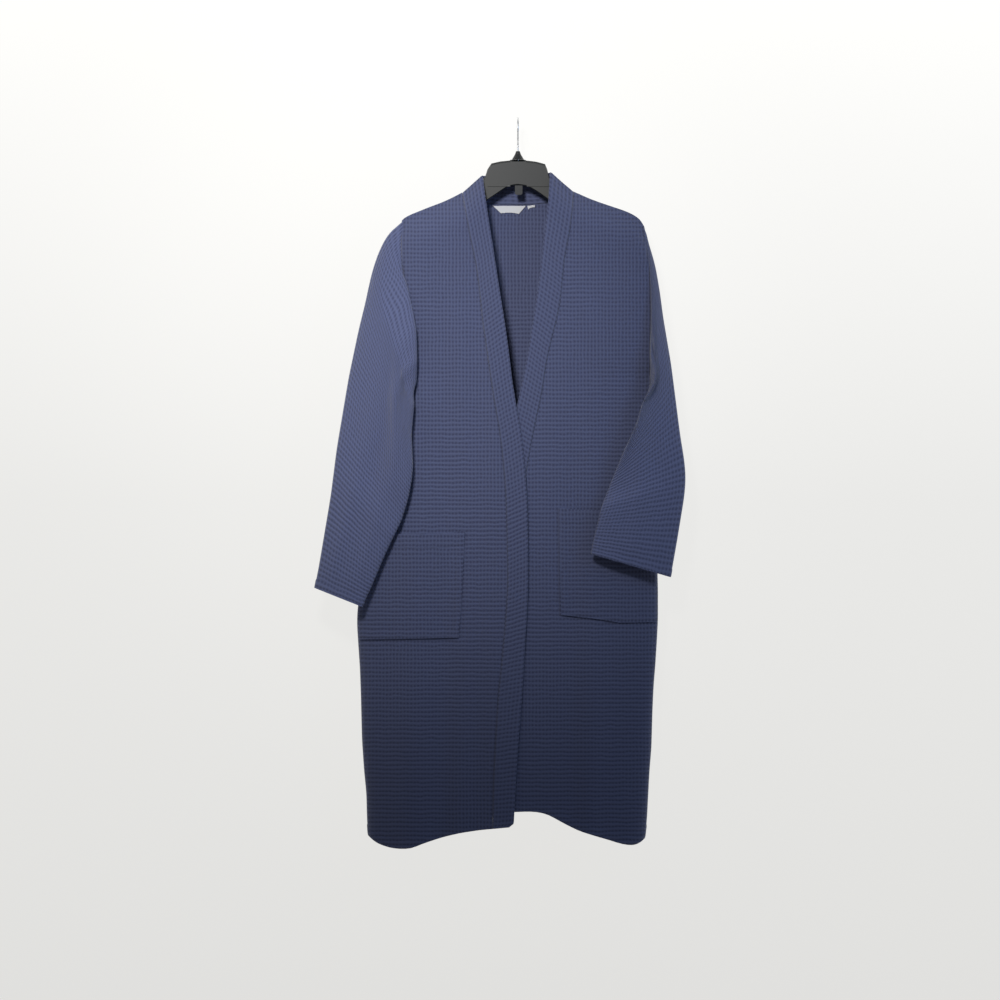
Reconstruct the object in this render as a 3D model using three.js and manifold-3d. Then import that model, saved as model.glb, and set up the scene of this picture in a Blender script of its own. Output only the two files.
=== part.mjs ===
// Waffle-weave bathrobe hanging open on a hanger.
// Units mm, +Z up, +X to the viewer's right, the front faces -Y.
// The origin is the inside top of the hook, where the rail carries it.
// Sides are the wearer's: the right side of the robe lies at -X.
import * as THREE from 'three';
import Module from 'manifold-3d';

const wasm = await Module();
wasm.setup();

// ---- driving dimensions -------------------------------------------------
const UNDERARM = 0.6;         // gap between a sleeve's halves where they cross under the arm
const ELBOW_ROW = 9;          // section of the sleeve at the elbow
const EDGE_SPREAD = 0.4;  // share of the first step by which the edges of a sleeve's halves stand apart
const CLOTH = 2.4;            // panel thickness
const BAND_T = 3.2;           // band thickness (folded cloth)
const SEAM = 1.8;             // half distance between front and back at a side seam
const FOLD_GAP = 2.2;         // half gap at a fold line
const FRONT_H0 = 24, FRONT_K = 0.008;  // front depth below the shoulder and its growth
const BACK_H = 26;            // back depth
const ROLL = 55;              // height over which the cloth rolls off the shoulder
const OVERLAP = 4.6;          // how far the upper front lies before the lower one
const WIRE_R = 1.6, HOOK_R = 18;       // hook wire and mean bend radius
const CONE_TOP = -55, CONE_FOOT = -69;
const PLATE_T = 8;            // hanger thickness
const ARM = 190;              // half length of the hanger
const POCKET_T = 2.0, POCKET_GAP = 1.6, MOUTH = 7;
const FOLD_R = [[-54.4, -148.5], [-107.1, -1228]];   // fold line of the right front (x, z)
const FOLD_L = [[54.4, -140], [69.7, -1228]];        // fold line of the left front

// ---- outlines -----------------------------------------------------------
const RIDGE = [[-226.1,-196.1],[-219.3,-191.0],[-200.6,-174.0],[-192.1,-168.1],[-183.6,-163.8],[-166.6,-157.0],[-149.6,-150.2],[-130.9,-143.4],[-115.6,-136.6],[-102.0,-129.8],[-90.1,-123.0],[-81.6,-116.2],[-74.8,-109.4],[-68.0,-102.6],[-61.2,-95.8],[-54.4,-89.0],[-49.3,-82.2],[-39.1,-70.3],[-22.1,-58.4],[-1.7,-53.3],[20.4,-58.4],[37.4,-70.3],[46.8,-78.8],[52.7,-86.6],[59.5,-95.8],[66.3,-102.6],[71.4,-109.4],[79.9,-116.2],[91.8,-123.0],[107.1,-129.8],[122.4,-136.6],[141.1,-143.4],[161.5,-150.2],[181.9,-157.0],[197.2,-163.8],[209.1,-172.3],[217.6,-184.2],[224.4,-208.0]];
const SIDE_RF = [[-1245.0,-251.6],[-1217.8,-255.0],[-1194.0,-256.7],[-1151.5,-257.6],[-1109.0,-261.8],[-1058.0,-265.2],[-990.0,-266.9],[-939.0,-268.6],[-888.0,-272.0],[-862.5,-273.7],[-837.0,-272.9],[-752.0,-260.1],[-650.0,-246.5],[-573.5,-234.6],[-497.0,-220.2],[-463.0,-210.8],[-444.3,-204.9],[-432.4,-197.2],[-422.2,-187.0],[-408.6,-178.5],[-391.6,-174.2],[-369.5,-176.0],[-337.2,-181.9],[-293.0,-190.4],[-245.4,-196.4],[-208.0,-198.9],[-177.4,-197.2],[-140.0,-198.9]];
const SIDE_RB = [[-1245.0,-251.6],[-1217.8,-255.0],[-1194.0,-256.7],[-1151.5,-257.6],[-1109.0,-261.8],[-1058.0,-265.2],[-990.0,-266.9],[-939.0,-268.6],[-888.0,-272.0],[-862.5,-273.7],[-837.0,-272.9],[-752.0,-260.1],[-650.0,-246.5],[-573.5,-234.6],[-497.0,-220.2],[-463.0,-210.8],[-444.3,-204.9],[-432.4,-198.9],[-395.0,-197.2],[-310.0,-197.2],[-177.4,-197.2],[-140.0,-198.9]];
const SIDE_LF = [[-1245.0,212.5],[-1217.8,216.7],[-1194.0,219.3],[-1160.0,221.0],[-1112.4,223.5],[-1071.6,226.9],[-1010.4,228.6],[-969.6,230.4],[-928.8,233.7],[-888.0,236.3],[-854.0,238.0],[-803.0,238.0],[-701.0,235.4],[-599.0,232.9],[-514.0,230.4],[-463.0,227.8],[-432.4,226.1],[-408.6,224.4],[-386.5,224.4],[-352.5,226.1],[-310.0,226.1],[-267.5,224.4],[-228.4,221.9],[-197.8,217.6],[-177.4,213.4],[-140.0,212.5]];
const SIDE_LB = [[-1245.0,212.5],[-1217.8,216.7],[-1194.0,219.3],[-1160.0,221.0],[-1112.4,223.5],[-1071.6,226.9],[-1010.4,228.6],[-969.6,230.4],[-928.8,233.7],[-888.0,236.3],[-854.0,238.0],[-803.0,238.0],[-701.0,235.4],[-599.0,232.9],[-514.0,230.4],[-463.0,227.8],[-432.4,226.1],[-408.6,224.4],[-386.5,224.4],[-352.5,223.5],[-310.0,222.7],[-267.5,221.0],[-228.4,219.3],[-197.8,217.6],[-177.4,213.4],[-140.0,212.5]];
const EDGE_R = [[-1245.0,-8.5],[-1211.0,-7.7],[-1178.7,-6.0],[-1126.0,-3.4],[-1062.2,0.8],[-984.0,7.0],[-918.6,10.9],[-854.0,15.0],[-794.5,17.5],[-726.5,17.5],[-660.2,16.1],[-621.1,14.3],[-582.0,10.7],[-529.3,4.8],[-488.5,-2.9],[-446.0,-9.9],[-398.4,-15.3],[-357.3,-20.9],[-324.3,-26.0],[-285.2,-32.3],[-244.0,-38.4],[-211.1,-43.5],[-180.1,-48.6],[-141.0,-54.4],[-120.4,-57.8],[-99.9,-59.5],[-92.4,-60.4],[-72.0,-61.2]];
const SEAM_R = [[-1245.0,-44.2],[-1211.0,-43.4],[-1178.7,-42.5],[-1126.0,-41.7],[-1062.2,-38.6],[-984.0,-34.0],[-918.6,-27.2],[-854.0,-21.2],[-794.5,-17.3],[-726.5,-18.4],[-660.2,-20.1],[-621.1,-22.1],[-582.0,-25.8],[-529.3,-31.8],[-488.5,-39.4],[-446.0,-45.9],[-386.5,-54.4],[-344.0,-60.4],[-301.5,-64.6],[-259.0,-69.7],[-230.1,-75.7],[-202.9,-81.6],[-174.0,-86.7],[-140.0,-92.7],[-124.7,-95.2],[-106.0,-98.6],[-72.0,-100.3]];
const EDGE_L = [[-1245.0,-47.6],[-1182.1,-46.8],[-1024.0,-42.5],[-922.0,-40.8],[-820.0,-38.2],[-752.0,-37.4],[-684.0,-34.0],[-633.0,-27.2],[-573.5,-18.7],[-522.5,-8.5],[-485.1,-0.9],[-457.9,5.1],[-420.5,12.8],[-386.5,18.7],[-344.0,25.5],[-287.9,34.0],[-245.4,39.1],[-202.9,43.3],[-172.3,47.6],[-140.0,51.8],[-123.0,52.7],[-99.2,54.4],[-85.6,55.2],[-72.0,56.1]];
const SEAM_L = [[-1245.0,-10.2],[-1182.1,-9.4],[-1024.0,-5.1],[-922.0,-3.4],[-820.0,-0.9],[-752.0,0.0],[-684.0,3.4],[-633.0,10.2],[-573.5,18.7],[-522.5,28.9],[-488.5,36.5],[-457.9,42.5],[-415.4,48.4],[-383.1,55.2],[-344.0,66.3],[-306.6,73.1],[-276.0,75.6],[-247.1,78.2],[-221.6,82.4],[-194.4,88.4],[-165.5,91.8],[-140.0,94.3],[-124.7,95.2],[-106.0,96.0],[-72.0,96.9]];
const HEM_R = [[-268.6,-1211.0],[-256.7,-1217.8],[-251.6,-1224.6],[-244.8,-1230.5],[-236.3,-1235.6],[-217.6,-1241.6],[-200.6,-1243.3],[-181.9,-1242.5],[-161.5,-1234.0],[-132.6,-1224.6],[-98.6,-1216.1],[-64.6,-1211.0],[-30.6,-1207.6],[-5.1,-1205.9],[37.4,-1204.2]];
const HEM_L = [[-64.6,-1182.1],[-3.4,-1180.4],[20.4,-1179.5],[39.1,-1181.2],[52.7,-1185.5],[78.2,-1200.0],[102.0,-1211.8],[130.9,-1221.2],[156.4,-1228.8],[176.8,-1235.6],[195.5,-1238.2],[208.2,-1234.0],[215.9,-1226.3],[221.0,-1217.8],[232.9,-1207.6]];
const HEM_B = [[-268.6,-1207.6],[-256.7,-1217.8],[-241.4,-1222.9],[-200.6,-1222.9],[-132.6,-1209.3],[-64.6,-1197.4],[-5.1,-1190.6],[54.4,-1190.6],[122.4,-1205.9],[173.4,-1219.5],[204.0,-1222.9],[215.9,-1219.5],[221.0,-1216.1],[232.9,-1207.6]];
const NECKLINE = [[-81.6,-112.8],[-61.2,-95.8],[-57.8,-94.9],[-47.6,-98.3],[-30.6,-103.4],[-1.7,-106.0],[28.9,-103.4],[42.5,-98.3],[56.1,-90.7],[59.5,-95.8],[79.9,-112.8]];
const NECKSEAM = [[-132.6,-143.4],[-115.6,-135.8],[-100.3,-129.8],[-88.4,-134.9],[-64.6,-141.7],[-30.6,-145.1],[-1.7,-145.9],[28.9,-145.1],[59.5,-141.7],[81.6,-134.9],[96.9,-128.1],[112.2,-132.3],[130.9,-140.0]];
const SLV_R_OUT = [[-197.2,-175.7],[-219.3,-194.4],[-231.2,-214.8],[-239.7,-235.2],[-246.5,-255.6],[-251.6,-276.0],[-260.1,-316.8],[-270.3,-357.6],[-278.8,-398.4],[-287.3,-439.2],[-294.1,-480.0],[-300.9,-520.8],[-307.7,-561.6],[-312.8,-602.4],[-317.9,-643.2],[-324.7,-684.0],[-331.5,-724.8],[-338.3,-765.6],[-345.1,-799.6]];
const SLV_R_IN = [[-197.2,-432.4],[-187.0,-435.8],[-178.5,-444.3],[-174.2,-466.4],[-179.4,-514.0],[-181.1,-537.8],[-179.9,-568.4],[-178.8,-592.2],[-181.1,-616.0],[-187.0,-647.6],[-198.9,-685.7],[-213.2,-714.6],[-229.8,-750.3],[-248.9,-795.5],[-265.2,-831.0]];
const SLV_L_OUT = [[213.4,-175.7],[222.7,-214.8],[229.5,-235.2],[234.6,-255.6],[241.4,-296.4],[246.5,-337.2],[253.3,-378.0],[260.1,-418.8],[265.2,-459.6],[270.3,-500.4],[275.4,-541.2],[282.2,-582.0],[284.7,-612.6],[282.2,-643.2],[275.4,-684.0],[268.6,-724.8],[261.8,-762.2],[258.4,-780.9]];
const SLV_L_IN = [[225.2,-432.4],[222.7,-435.8],[219.3,-446.0],[215.9,-466.4],[207.4,-510.6],[193.8,-539.5],[180.2,-566.7],[161.5,-612.6],[142.8,-660.2],[132.6,-701.0],[125.8,-731.6],[124.9,-741.8]];
const PLATE_TOP = [[-56.1,-90.7],[-45.2,-75.7],[-30.6,-72.5],[-14.5,-70.8],[20.4,-70.8],[32.3,-72.8],[46.4,-76.2],[55.2,-89.8]];
const ARCH = [[-81.6,-160.4],[-55.1,-140.0],[-38.2,-128.9],[-22.1,-117.9],[-11.1,-113.6],[-0.9,-112.1],[16.0,-114.5],[26.9,-120.3],[37.7,-127.2],[55.2,-140.0],[81.6,-160.4]];

// ---- helpers ------------------------------------------------------------
const clamp = (a, lo, hi) => Math.min(hi, Math.max(lo, a));
const mix = (a, b, t) => a + (b - a) * t;
const smooth = (a, b, x) => { const t = clamp((x - a) / (b - a), 0, 1); return t * t * (3 - 2 * t); };
function at(table, v) {
  if (v <= table[0][0]) return table[0][1];
  for (let i = 1; i < table.length; i++) {
    if (v <= table[i][0]) {
      const [a, fa] = table[i - 1], [b, fb] = table[i];
      return mix(fa, fb, (v - a) / (b - a));
    }
  }
  return table[table.length - 1][1];
}
// point at fraction t of a polyline's length
function along(poly, t) {
  const L = [0];
  for (let i = 1; i < poly.length; i++) L.push(L[i - 1] + Math.hypot(...poly[i].map((c, k) => c - poly[i - 1][k])));
  const s = clamp(t, 0, 1) * L[L.length - 1];
  for (let i = 1; i < poly.length; i++) {
    if (s <= L[i] || i === poly.length - 1) {
      const u = (s - L[i - 1]) / (L[i] - L[i - 1]);
      return poly[i].map((c, k) => mix(poly[i - 1][k], c, u));
    }
  }
}
const onLine = (line, z) => mix(line[0][0], line[1][0], (z - line[0][1]) / (line[1][1] - line[0][1]));

// front and back depth of the body at (x, z)
const ARM_TOP = -174, ARM_FOOT = -432;
function edgeDepth(z) {
  if (z > ARM_TOP || z < ARM_FOOT) return 0;
  return 15 * Math.pow(Math.sin(Math.PI * (z - ARM_TOP) / (ARM_FOOT - ARM_TOP)), 0.35);
}
function depth(x, z, front) {
  const l = at(front ? SIDE_RF : SIDE_RB, z), r = at(front ? SIDE_LF : SIDE_LB, z);
  const u = clamp(Math.abs((2 * x - l - r) / (r - l)), 0, 1);
  const e = Math.pow(1 - u * u * u, 1 / 3);
  const H = front ? FRONT_H0 + FRONT_K * (-150 - z) : BACK_H;
  const d = clamp((at(RIDGE, x) - z) / ROLL, 0, 1);
  return Math.sin(Math.PI / 2 * d) * (H * e + edgeDepth(z) * (1 - e));
}
const frontY = (x, z) => -(depth(x, z, true) + SEAM);
const backY = (x, z) => depth(x, z, false) + SEAM;
const overY = (x, z) => frontY(x, z) - OVERLAP * smooth(-75, -38, x) * smooth(-180, -330, z);

// thin closed shell about a grid of middle points, rows x cols, offset both ways along the normals
function shell(grid, t, ring = false) {
  const R = grid.length, C = grid[0].length;
  const P = grid.map(r => r.map(p => new THREE.Vector3(...p)));
  const N = [];
  for (let i = 0; i < R; i++) {
    N.push([]);
    for (let j = 0; j < C; j++) {
      const a = P[Math.max(i - 1, 0)][j], b = P[Math.min(i + 1, R - 1)][j];
      const c = ring ? P[i][(j - 1 + C) % C] : P[i][Math.max(j - 1, 0)];
      const d = ring ? P[i][(j + 1) % C] : P[i][Math.min(j + 1, C - 1)];
      const n = new THREE.Vector3().subVectors(b, a).cross(new THREE.Vector3().subVectors(d, c));
      N[i].push(n.normalize());
    }
  }
  const pos = [], idx = [];
  for (const s of [0.5, -0.5])
    for (let i = 0; i < R; i++) for (let j = 0; j < C; j++) {
      const p = P[i][j], n = N[i][j];
      pos.push(p.x + n.x * t * s, p.y + n.y * t * s, p.z + n.z * t * s);
    }
  const id = (s, i, j) => s * R * C + i * C + (j % C);
  const quad = (a, b, c, d) => idx.push(a, b, c, a, c, d);
  const JC = ring ? C : C - 1;
  for (let i = 0; i < R - 1; i++) for (let j = 0; j < JC; j++) {
    quad(id(0, i, j), id(0, i + 1, j), id(0, i + 1, j + 1), id(0, i, j + 1));
    quad(id(1, i, j), id(1, i, j + 1), id(1, i + 1, j + 1), id(1, i + 1, j));
  }
  for (let j = 0; j < JC; j++) {
    quad(id(0, 0, j), id(0, 0, j + 1), id(1, 0, j + 1), id(1, 0, j));
    quad(id(0, R - 1, j + 1), id(0, R - 1, j), id(1, R - 1, j), id(1, R - 1, j + 1));
  }
  if (!ring) for (let i = 0; i < R - 1; i++) {
    quad(id(0, i + 1, 0), id(0, i, 0), id(1, i, 0), id(1, i + 1, 0));
    quad(id(0, i, C - 1), id(0, i + 1, C - 1), id(1, i + 1, C - 1), id(1, i, C - 1));
  }
  const g = new THREE.BufferGeometry();
  g.setAttribute('position', new THREE.Float32BufferAttribute(pos, 3));
  g.setIndex(idx);
  return outward(g);
}
function volume(g) {
  const p = g.attributes.position, ix = g.index.array;
  let v = 0;
  const A = new THREE.Vector3(), B = new THREE.Vector3(), C = new THREE.Vector3();
  for (let i = 0; i < ix.length; i += 3) {
    A.fromBufferAttribute(p, ix[i]); B.fromBufferAttribute(p, ix[i + 1]); C.fromBufferAttribute(p, ix[i + 2]);
    v += A.dot(B.cross(C)) / 6;
  }
  return v;
}
function outward(g) {
  if (volume(g) < 0) { const a = g.index.array; for (let i = 0; i < a.length; i += 3) { const t = a[i]; a[i] = a[i + 1]; a[i + 1] = t; } }
  return g;
}
// closed tube with capped ends through sections (rings of equal count)
function loft(rings) {
  const C = rings[0].length, pos = rings.flat(2), idx = [];
  for (let i = 0; i < rings.length - 1; i++) for (let j = 0; j < C; j++) {
    const a = i * C + j, b = i * C + (j + 1) % C, c = a + C, d = b + C;
    idx.push(a, b, d, a, d, c);
  }
  for (const [o, flip] of [[0, 1], [(rings.length - 1) * C, 0]])
    for (let j = 1; j < C - 1; j++) flip ? idx.push(o, o + j + 1, o + j) : idx.push(o, o + j, o + j + 1);
  const g = new THREE.BufferGeometry();
  g.setAttribute('position', new THREE.Float32BufferAttribute(pos, 3));
  g.setIndex(idx);
  return outward(g);
}
const solid = g => {
  const q = new Map(), vp = [], map = [], p = g.attributes.position;
  for (let i = 0; i < p.count; i++) {
    const k = [p.getX(i), p.getY(i), p.getZ(i)].map(v => Math.round(v * 1e4)).join();
    if (!q.has(k)) { q.set(k, vp.length / 3); vp.push(p.getX(i), p.getY(i), p.getZ(i)); }
    map.push(q.get(k));
  }
  const src = g.index ? Array.from(g.index.array) : [...Array(p.count).keys()], tri = [];
  for (let i = 0; i < src.length; i += 3) {
    const [a, b, c] = [map[src[i]], map[src[i + 1]], map[src[i + 2]]];
    if (a !== b && b !== c && a !== c) tri.push(a, b, c);
  }
  return new wasm.Manifold(new wasm.Mesh({ numProp: 3, vertProperties: new Float32Array(vp), triVerts: new Uint32Array(tri) }));
};
const geo = m => {
  const k = m.getMesh(), g = new THREE.BufferGeometry();
  g.setAttribute('position', new THREE.BufferAttribute(new Float32Array(k.vertProperties), 3));
  g.setIndex(Array.from(k.triVerts));
  return g;
};

const group = new THREE.Group();
group.name = 'bathrobe_on_hanger';
const NAVY = 0x454b66, NAVY_BAND = 0x41475f;
function add(name, g, color = NAVY, roughness = 0.95, metalness = 0) {
  g.computeVertexNormals();
  const m = new THREE.Mesh(g, new THREE.MeshStandardMaterial({ color, roughness, metalness }));
  m.name = name;
  group.add(m);
}

// fractions used down and across the panels
const DOWN = [0, 0.006, 0.014, 0.026, 0.044, 0.075, 0.12, 0.17, 0.22, 0.27, 0.33, 0.40, 0.48, 0.56, 0.64, 0.72, 0.80, 0.87, 0.93, 1];
const lin = n => [...Array(n + 1).keys()].map(i => i / n);

// ---- hanger -------------------------------------------------------------
// hook: wire in the Y-Z plane, its shank turning in the cone
{
  const path = [[0, -83], [0, -70], [0, -56], [0, -50], [1.2, -45.5], [4.4, -41], [8.4, -36.6]];
  const cz = -(HOOK_R - WIRE_R);
  for (let a = -38; a <= 206; a += 12.2) path.push([HOOK_R * Math.cos(a * Math.PI / 180), cz + HOOK_R * Math.sin(a * Math.PI / 180)]);
  const rings = path.map((p, i) => {
    const a = path[Math.max(i - 1, 0)], b = path[Math.min(i + 1, path.length - 1)];
    const L = Math.hypot(b[0] - a[0], b[1] - a[1]), n = [-(b[1] - a[1]) / L, (b[0] - a[0]) / L];
    const r = i === path.length - 1 ? WIRE_R * 0.7 : WIRE_R;
    return lin(10).slice(0, 10).map(t => {
      const c = Math.cos(2 * Math.PI * t) * r, s = Math.sin(2 * Math.PI * t) * r;
      return [s, p[0] + n[0] * c, p[1] + n[1] * c];
    });
  });
  add('hook', loft(rings), 0xb9bcc0, 0.3, 1);
}
// cone collar: a turned cone bored for the shank
{
  const prof = [[WIRE_R + 0.1, CONE_TOP], [3.2, CONE_TOP], [5.2, -60.5], [8.2, -65.5], [10.2, CONE_FOOT], [WIRE_R + 0.1, CONE_FOOT]]
    .map(([r, z]) => new THREE.Vector2(r, z));
  prof.push(prof[0].clone());
  const g = new THREE.LatheGeometry(prof, 24);
  g.rotateX(Math.PI / 2);
  const m = geo(solid(g));
  add('hook_collar', outward(m), 0x2b2d33, 0.45);
}
// hanger body: plate with an arch beneath, arms that follow the shoulder line
const plateTop = x => at([[-ARM, -177], [-178, -168.5], [-166, -163], [-150, -156.5], [-131, -149.6], [-116, -143], [-102, -136],
  [-90, -129.5], [-82, -122.5], [-75, -116], [-68, -110], [-61, -104.5], [-56, -98.5], [-52, -86], [-45.2, -75.8], [-30, -72.4], [-14, -70.8], [-12, -69.4],
  [12, -69.4], [14, -70.8], [32, -72.9], [46.4, -77], [50, -86], [53, -98.5], [60, -105.5], [66, -110.5], [71, -116.5], [80, -123], [92, -129], [107, -136],
  [122, -143], [141, -150], [160, -156], [174, -160], [182, -167], [ARM, -176]], x);
const plateFoot = x => Math.abs(x) <= 53 ? at(ARCH, x) : at([[-ARM, -190], [-180, -192], [-140, -181], [-100, -162.5], [-75, -152], [-53, -140.5], [53, -140.5], [75, -152],
  [100, -163], [140, -181], [180, -192], [ARM, -190]], x);
{
  const xs = [-ARM, -186, -180, -166, -150, -131, -116, -102, -90, -82, -75, -68, -61, -56, -52, -49, -45.2, -38, -30, -22, -14.2, -12, -6, 0, 6, 12, 14.2,
    22, 30, 38, 46.4, 50, 53, 60, 66, 71, 80, 92, 107, 122, 141, 160, 174, 182, 186, ARM];
  const rings = xs.map(x => {
    const t = plateTop(x), b = plateFoot(x), w = Math.abs(x) > 185 ? 3.2 : PLATE_T / 2, c = Math.min(3.4, w - 0.6);
    return [[x, w - c, t], [x, w, t - c], [x, w, b + 1.5], [x, w - 1.5, b], [x, -(w - 1.5), b], [x, -w, b + 1.5], [x, -w, t - c], [x, -(w - c), t]];
  });
  let m = solid(loft(rings));
  const box = (x0, x1, y0, y1, z0, z1) => {
    const g = new THREE.BoxGeometry(x1 - x0, y1 - y0, z1 - z0);
    g.translate((x0 + x1) / 2, (y0 + y1) / 2, (z0 + z1) / 2);
    return solid(g);
  };
  // stiffening rib across the front of the plate, either side of the boss
  m = m.add(box(-52, -18, -PLATE_T / 2 - 1.4, 0, -115.4, -111.2)).add(box(16, 52, -PLATE_T / 2 - 1.4, 0, -115.4, -111.2));
  // bore for the shank
  const bore = new THREE.CylinderGeometry(WIRE_R + 0.12, WIRE_R + 0.12, 30, 24);
  bore.rotateX(Math.PI / 2); bore.translate(0, 0, -69.4);
  m = m.subtract(solid(bore));
  add('hanger_body', outward(geo(m)), 0x33353c, 0.45);
}
// retaining tab below the arch
{
  const s = new THREE.Shape();
  const w = 6.4, z0 = -113.5, z1 = -129.5, r = 4.2;
  s.moveTo(-w, z0); s.lineTo(-w, z1 + r); s.quadraticCurveTo(-w, z1, -w + r, z1); s.lineTo(w - r, z1); s.quadraticCurveTo(w, z1, w, z1 + r); s.lineTo(w, z0);
  const g = new THREE.ExtrudeGeometry(s, { depth: 7, bevelEnabled: false, curveSegments: 5 });
  g.rotateX(Math.PI / 2);
  // the shape's second axis becomes Z after the turn, the depth runs along -Y
  g.translate(1.3, 3.5, 0);
  const t = geo(solid(g));
  add('retaining_tab', outward(t), 0x3a3d45, 0.4);
}

// ---- body panels --------------------------------------------------------
function panel(xl, xr, top, foot, yf, cols, rows, xt = z => [xl(z), xr(z)]) {
  return rows.map(t => cols.map(s => {
    let z = -700;
    const zt0 = -160;
    let xa = mix(...xt(zt0), s), zt = zt0;
    for (let k = 0; k < 12; k++) { zt = top(xa); xa = mix(xl(zt), xr(zt), s); }
    let zb = -1210, xb = mix(xl(zb), xr(zb), s);
    for (let k = 0; k < 6; k++) { zb = foot(xb); xb = mix(xl(zb), xr(zb), s); }
    z = mix(zt, zb, t);
    const x = mix(xl(z), xr(z), s);
    return [x, yf(x, z), z];
  }));
}
const ease = n => lin(n).map(s => 0.5 - 0.5 * Math.cos(Math.PI * s));
const easeOut = n => lin(n).map(s => 1 - Math.cos(Math.PI / 2 * s));   // fine at 0
const easeIn = n => lin(n).map(s => Math.sin(Math.PI / 2 * s));        // fine at 1

// back: from side to side, up to the neck seam
const backTop = x => Math.min(at(RIDGE, x), (x > -100 && x < 93) ? at(NECKSEAM, x) - 2.2 : 1e9);
add('back_panel', shell(panel(z => at(SIDE_RB, z), z => at(SIDE_LB, z), backTop, x => at(HEM_B, x), backY, ease(18), DOWN), CLOTH));

// right front, fixed part: side seam to the fold line or the band seam
const seamR = z => at(SEAM_R, z), seamL = z => at(SEAM_L, z);
const RF = z => Math.min(seamR(z) - 2, onLine(FOLD_R, z) - FOLD_GAP);
const LF = z => Math.max(seamL(z) + 2, onLine(FOLD_L, z) + FOLD_GAP);
const gridRF = panel(z => at(SIDE_RF, z), RF, x => at(RIDGE, x), x => at(HEM_R, x), frontY, easeOut(10), DOWN);
add('right_front_side', shell(gridRF, CLOTH));
const gridLF = panel(LF, z => at(SIDE_LF, z), x => at(RIDGE, x), x => at(HEM_L, x), frontY, easeIn(10), DOWN);
add('left_front_side', shell(gridLF, CLOTH));

// the turning part of each front: fold line to band seam, from where the two lines cross
function crossing(fold, seam, sign) {
  for (let z = -200; z > -600; z -= 1) if (sign * (seam(z) - onLine(fold, z)) > 2 + FOLD_GAP + 3) return z;
}
const crossR = crossing(FOLD_R, seamR, 1), crossL = crossing(FOLD_L, seamL, -1);
add('right_front_flap', shell(panel(z => onLine(FOLD_R, z) + FOLD_GAP, z => seamR(z) - 2, () => crossR, x => at(HEM_R, x), overY, lin(4), lin(14)), CLOTH));
add('left_front_flap', shell(panel(z => seamL(z) + 2, z => onLine(FOLD_L, z) - FOLD_GAP, () => crossL, x => at(HEM_L, x), frontY, lin(4), lin(14)), CLOTH));

// ---- bands --------------------------------------------------------------
function band(rows, cols = [0, 0.5, 1]) {
  return rows.map(([a, b, yf]) => cols.map(s => { const x = mix(a[0], b[0], s), z = mix(a[1], b[1], s); return [x, yf(x, z), z]; }));
}
// lower, turning part: fold line or seam on one side, free edge on the other
{
  const top = FOLD_R[0][1] - 40;
  const zs = [...lin(8).map(t => mix(top, crossR, t)), ...lin(20).slice(1).map(t => mix(crossR, -1206, t))];
  add('right_band_flap', shell(band(zs.map(z => {
    const inner = Math.max(seamR(z) + 0.4, onLine(FOLD_R, z) + FOLD_GAP);
    const zc = z < -1200 ? -1203.5 : z;
    return [[inner, z < -1200 ? at(HEM_R, inner) : z], [at(EDGE_R, zc) - (z < -1200 ? 3 : 0), zc], overY];
  })), BAND_T), NAVY_BAND);
}
{
  const top = -170;
  const zs = [...lin(8).map(t => mix(top, crossL, t)), ...lin(20).slice(1).map(t => mix(crossL, -1181.5, t))];
  add('left_band_flap', shell(band(zs.map(z => {
    const outer = Math.min(seamL(z) - 0.4, onLine(FOLD_L, z) - FOLD_GAP);
    return [[at(EDGE_L, z), z], [outer, z < -1181 ? at(HEM_L, outer) : z], frontY];
  })), BAND_T), NAVY_BAND);
}
// upper part: centre back, round the neck, over the shoulder, down to the fold line
const JOIN = -17;            // x of the centre-back join
function neckBand(side) {
  const s = side, edge = s < 0 ? EDGE_R : EDGE_L, seam = s < 0 ? SEAM_R : SEAM_L, fold = s < 0 ? FOLD_R : FOLD_L;
  const e0 = s < 0 ? [-59.5, -96] : [54.6, -91.5], s0 = s < 0 ? [-94.8, -128.8] : [94, -126.8];
  const rows = [];
  const j = JOIN + s * 0.5;
  for (const t of [0, 0.14, 0.28, 0.42, 0.56, 0.7, 0.82, 0.92]) {
    const xe = mix(j, e0[0], t), xs = mix(j, s0[0], t);
    rows.push([[xe, at(NECKLINE, xe)], [xs, at(NECKSEAM, xs)], backY]);
  }
  rows.push([e0, s0, () => 0]);
  const zEnd = (s < 0 ? crossR : crossL) + 22;
  const eTop = [e0[0], e0[1] - 8], sTop = [at(seam, s0[1] - 8) - s * 0.4, s0[1] - 8];
  const zf = s < 0 ? -190 : -178;
  const ePath = [eTop, [at(edge, -120), -120], [at(edge, -140), -140], ...lin(8).map(t => { const z = mix(zf, zEnd, t); return [onLine(fold, z) + s * FOLD_GAP, z]; })];
  const N = 12;
  for (let i = 0; i <= N; i++) {
    const t = i / N, zs = mix(sTop[1], zEnd, t);
    rows.push([along(ePath, t), [at(seam, zs) - s * 0.4, zs], frontY]);
  }
  return shell(band(rows), BAND_T);
}
add('right_band_neck', neckBand(-1), NAVY_BAND);
add('left_band_neck', neckBand(1), NAVY_BAND);

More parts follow.
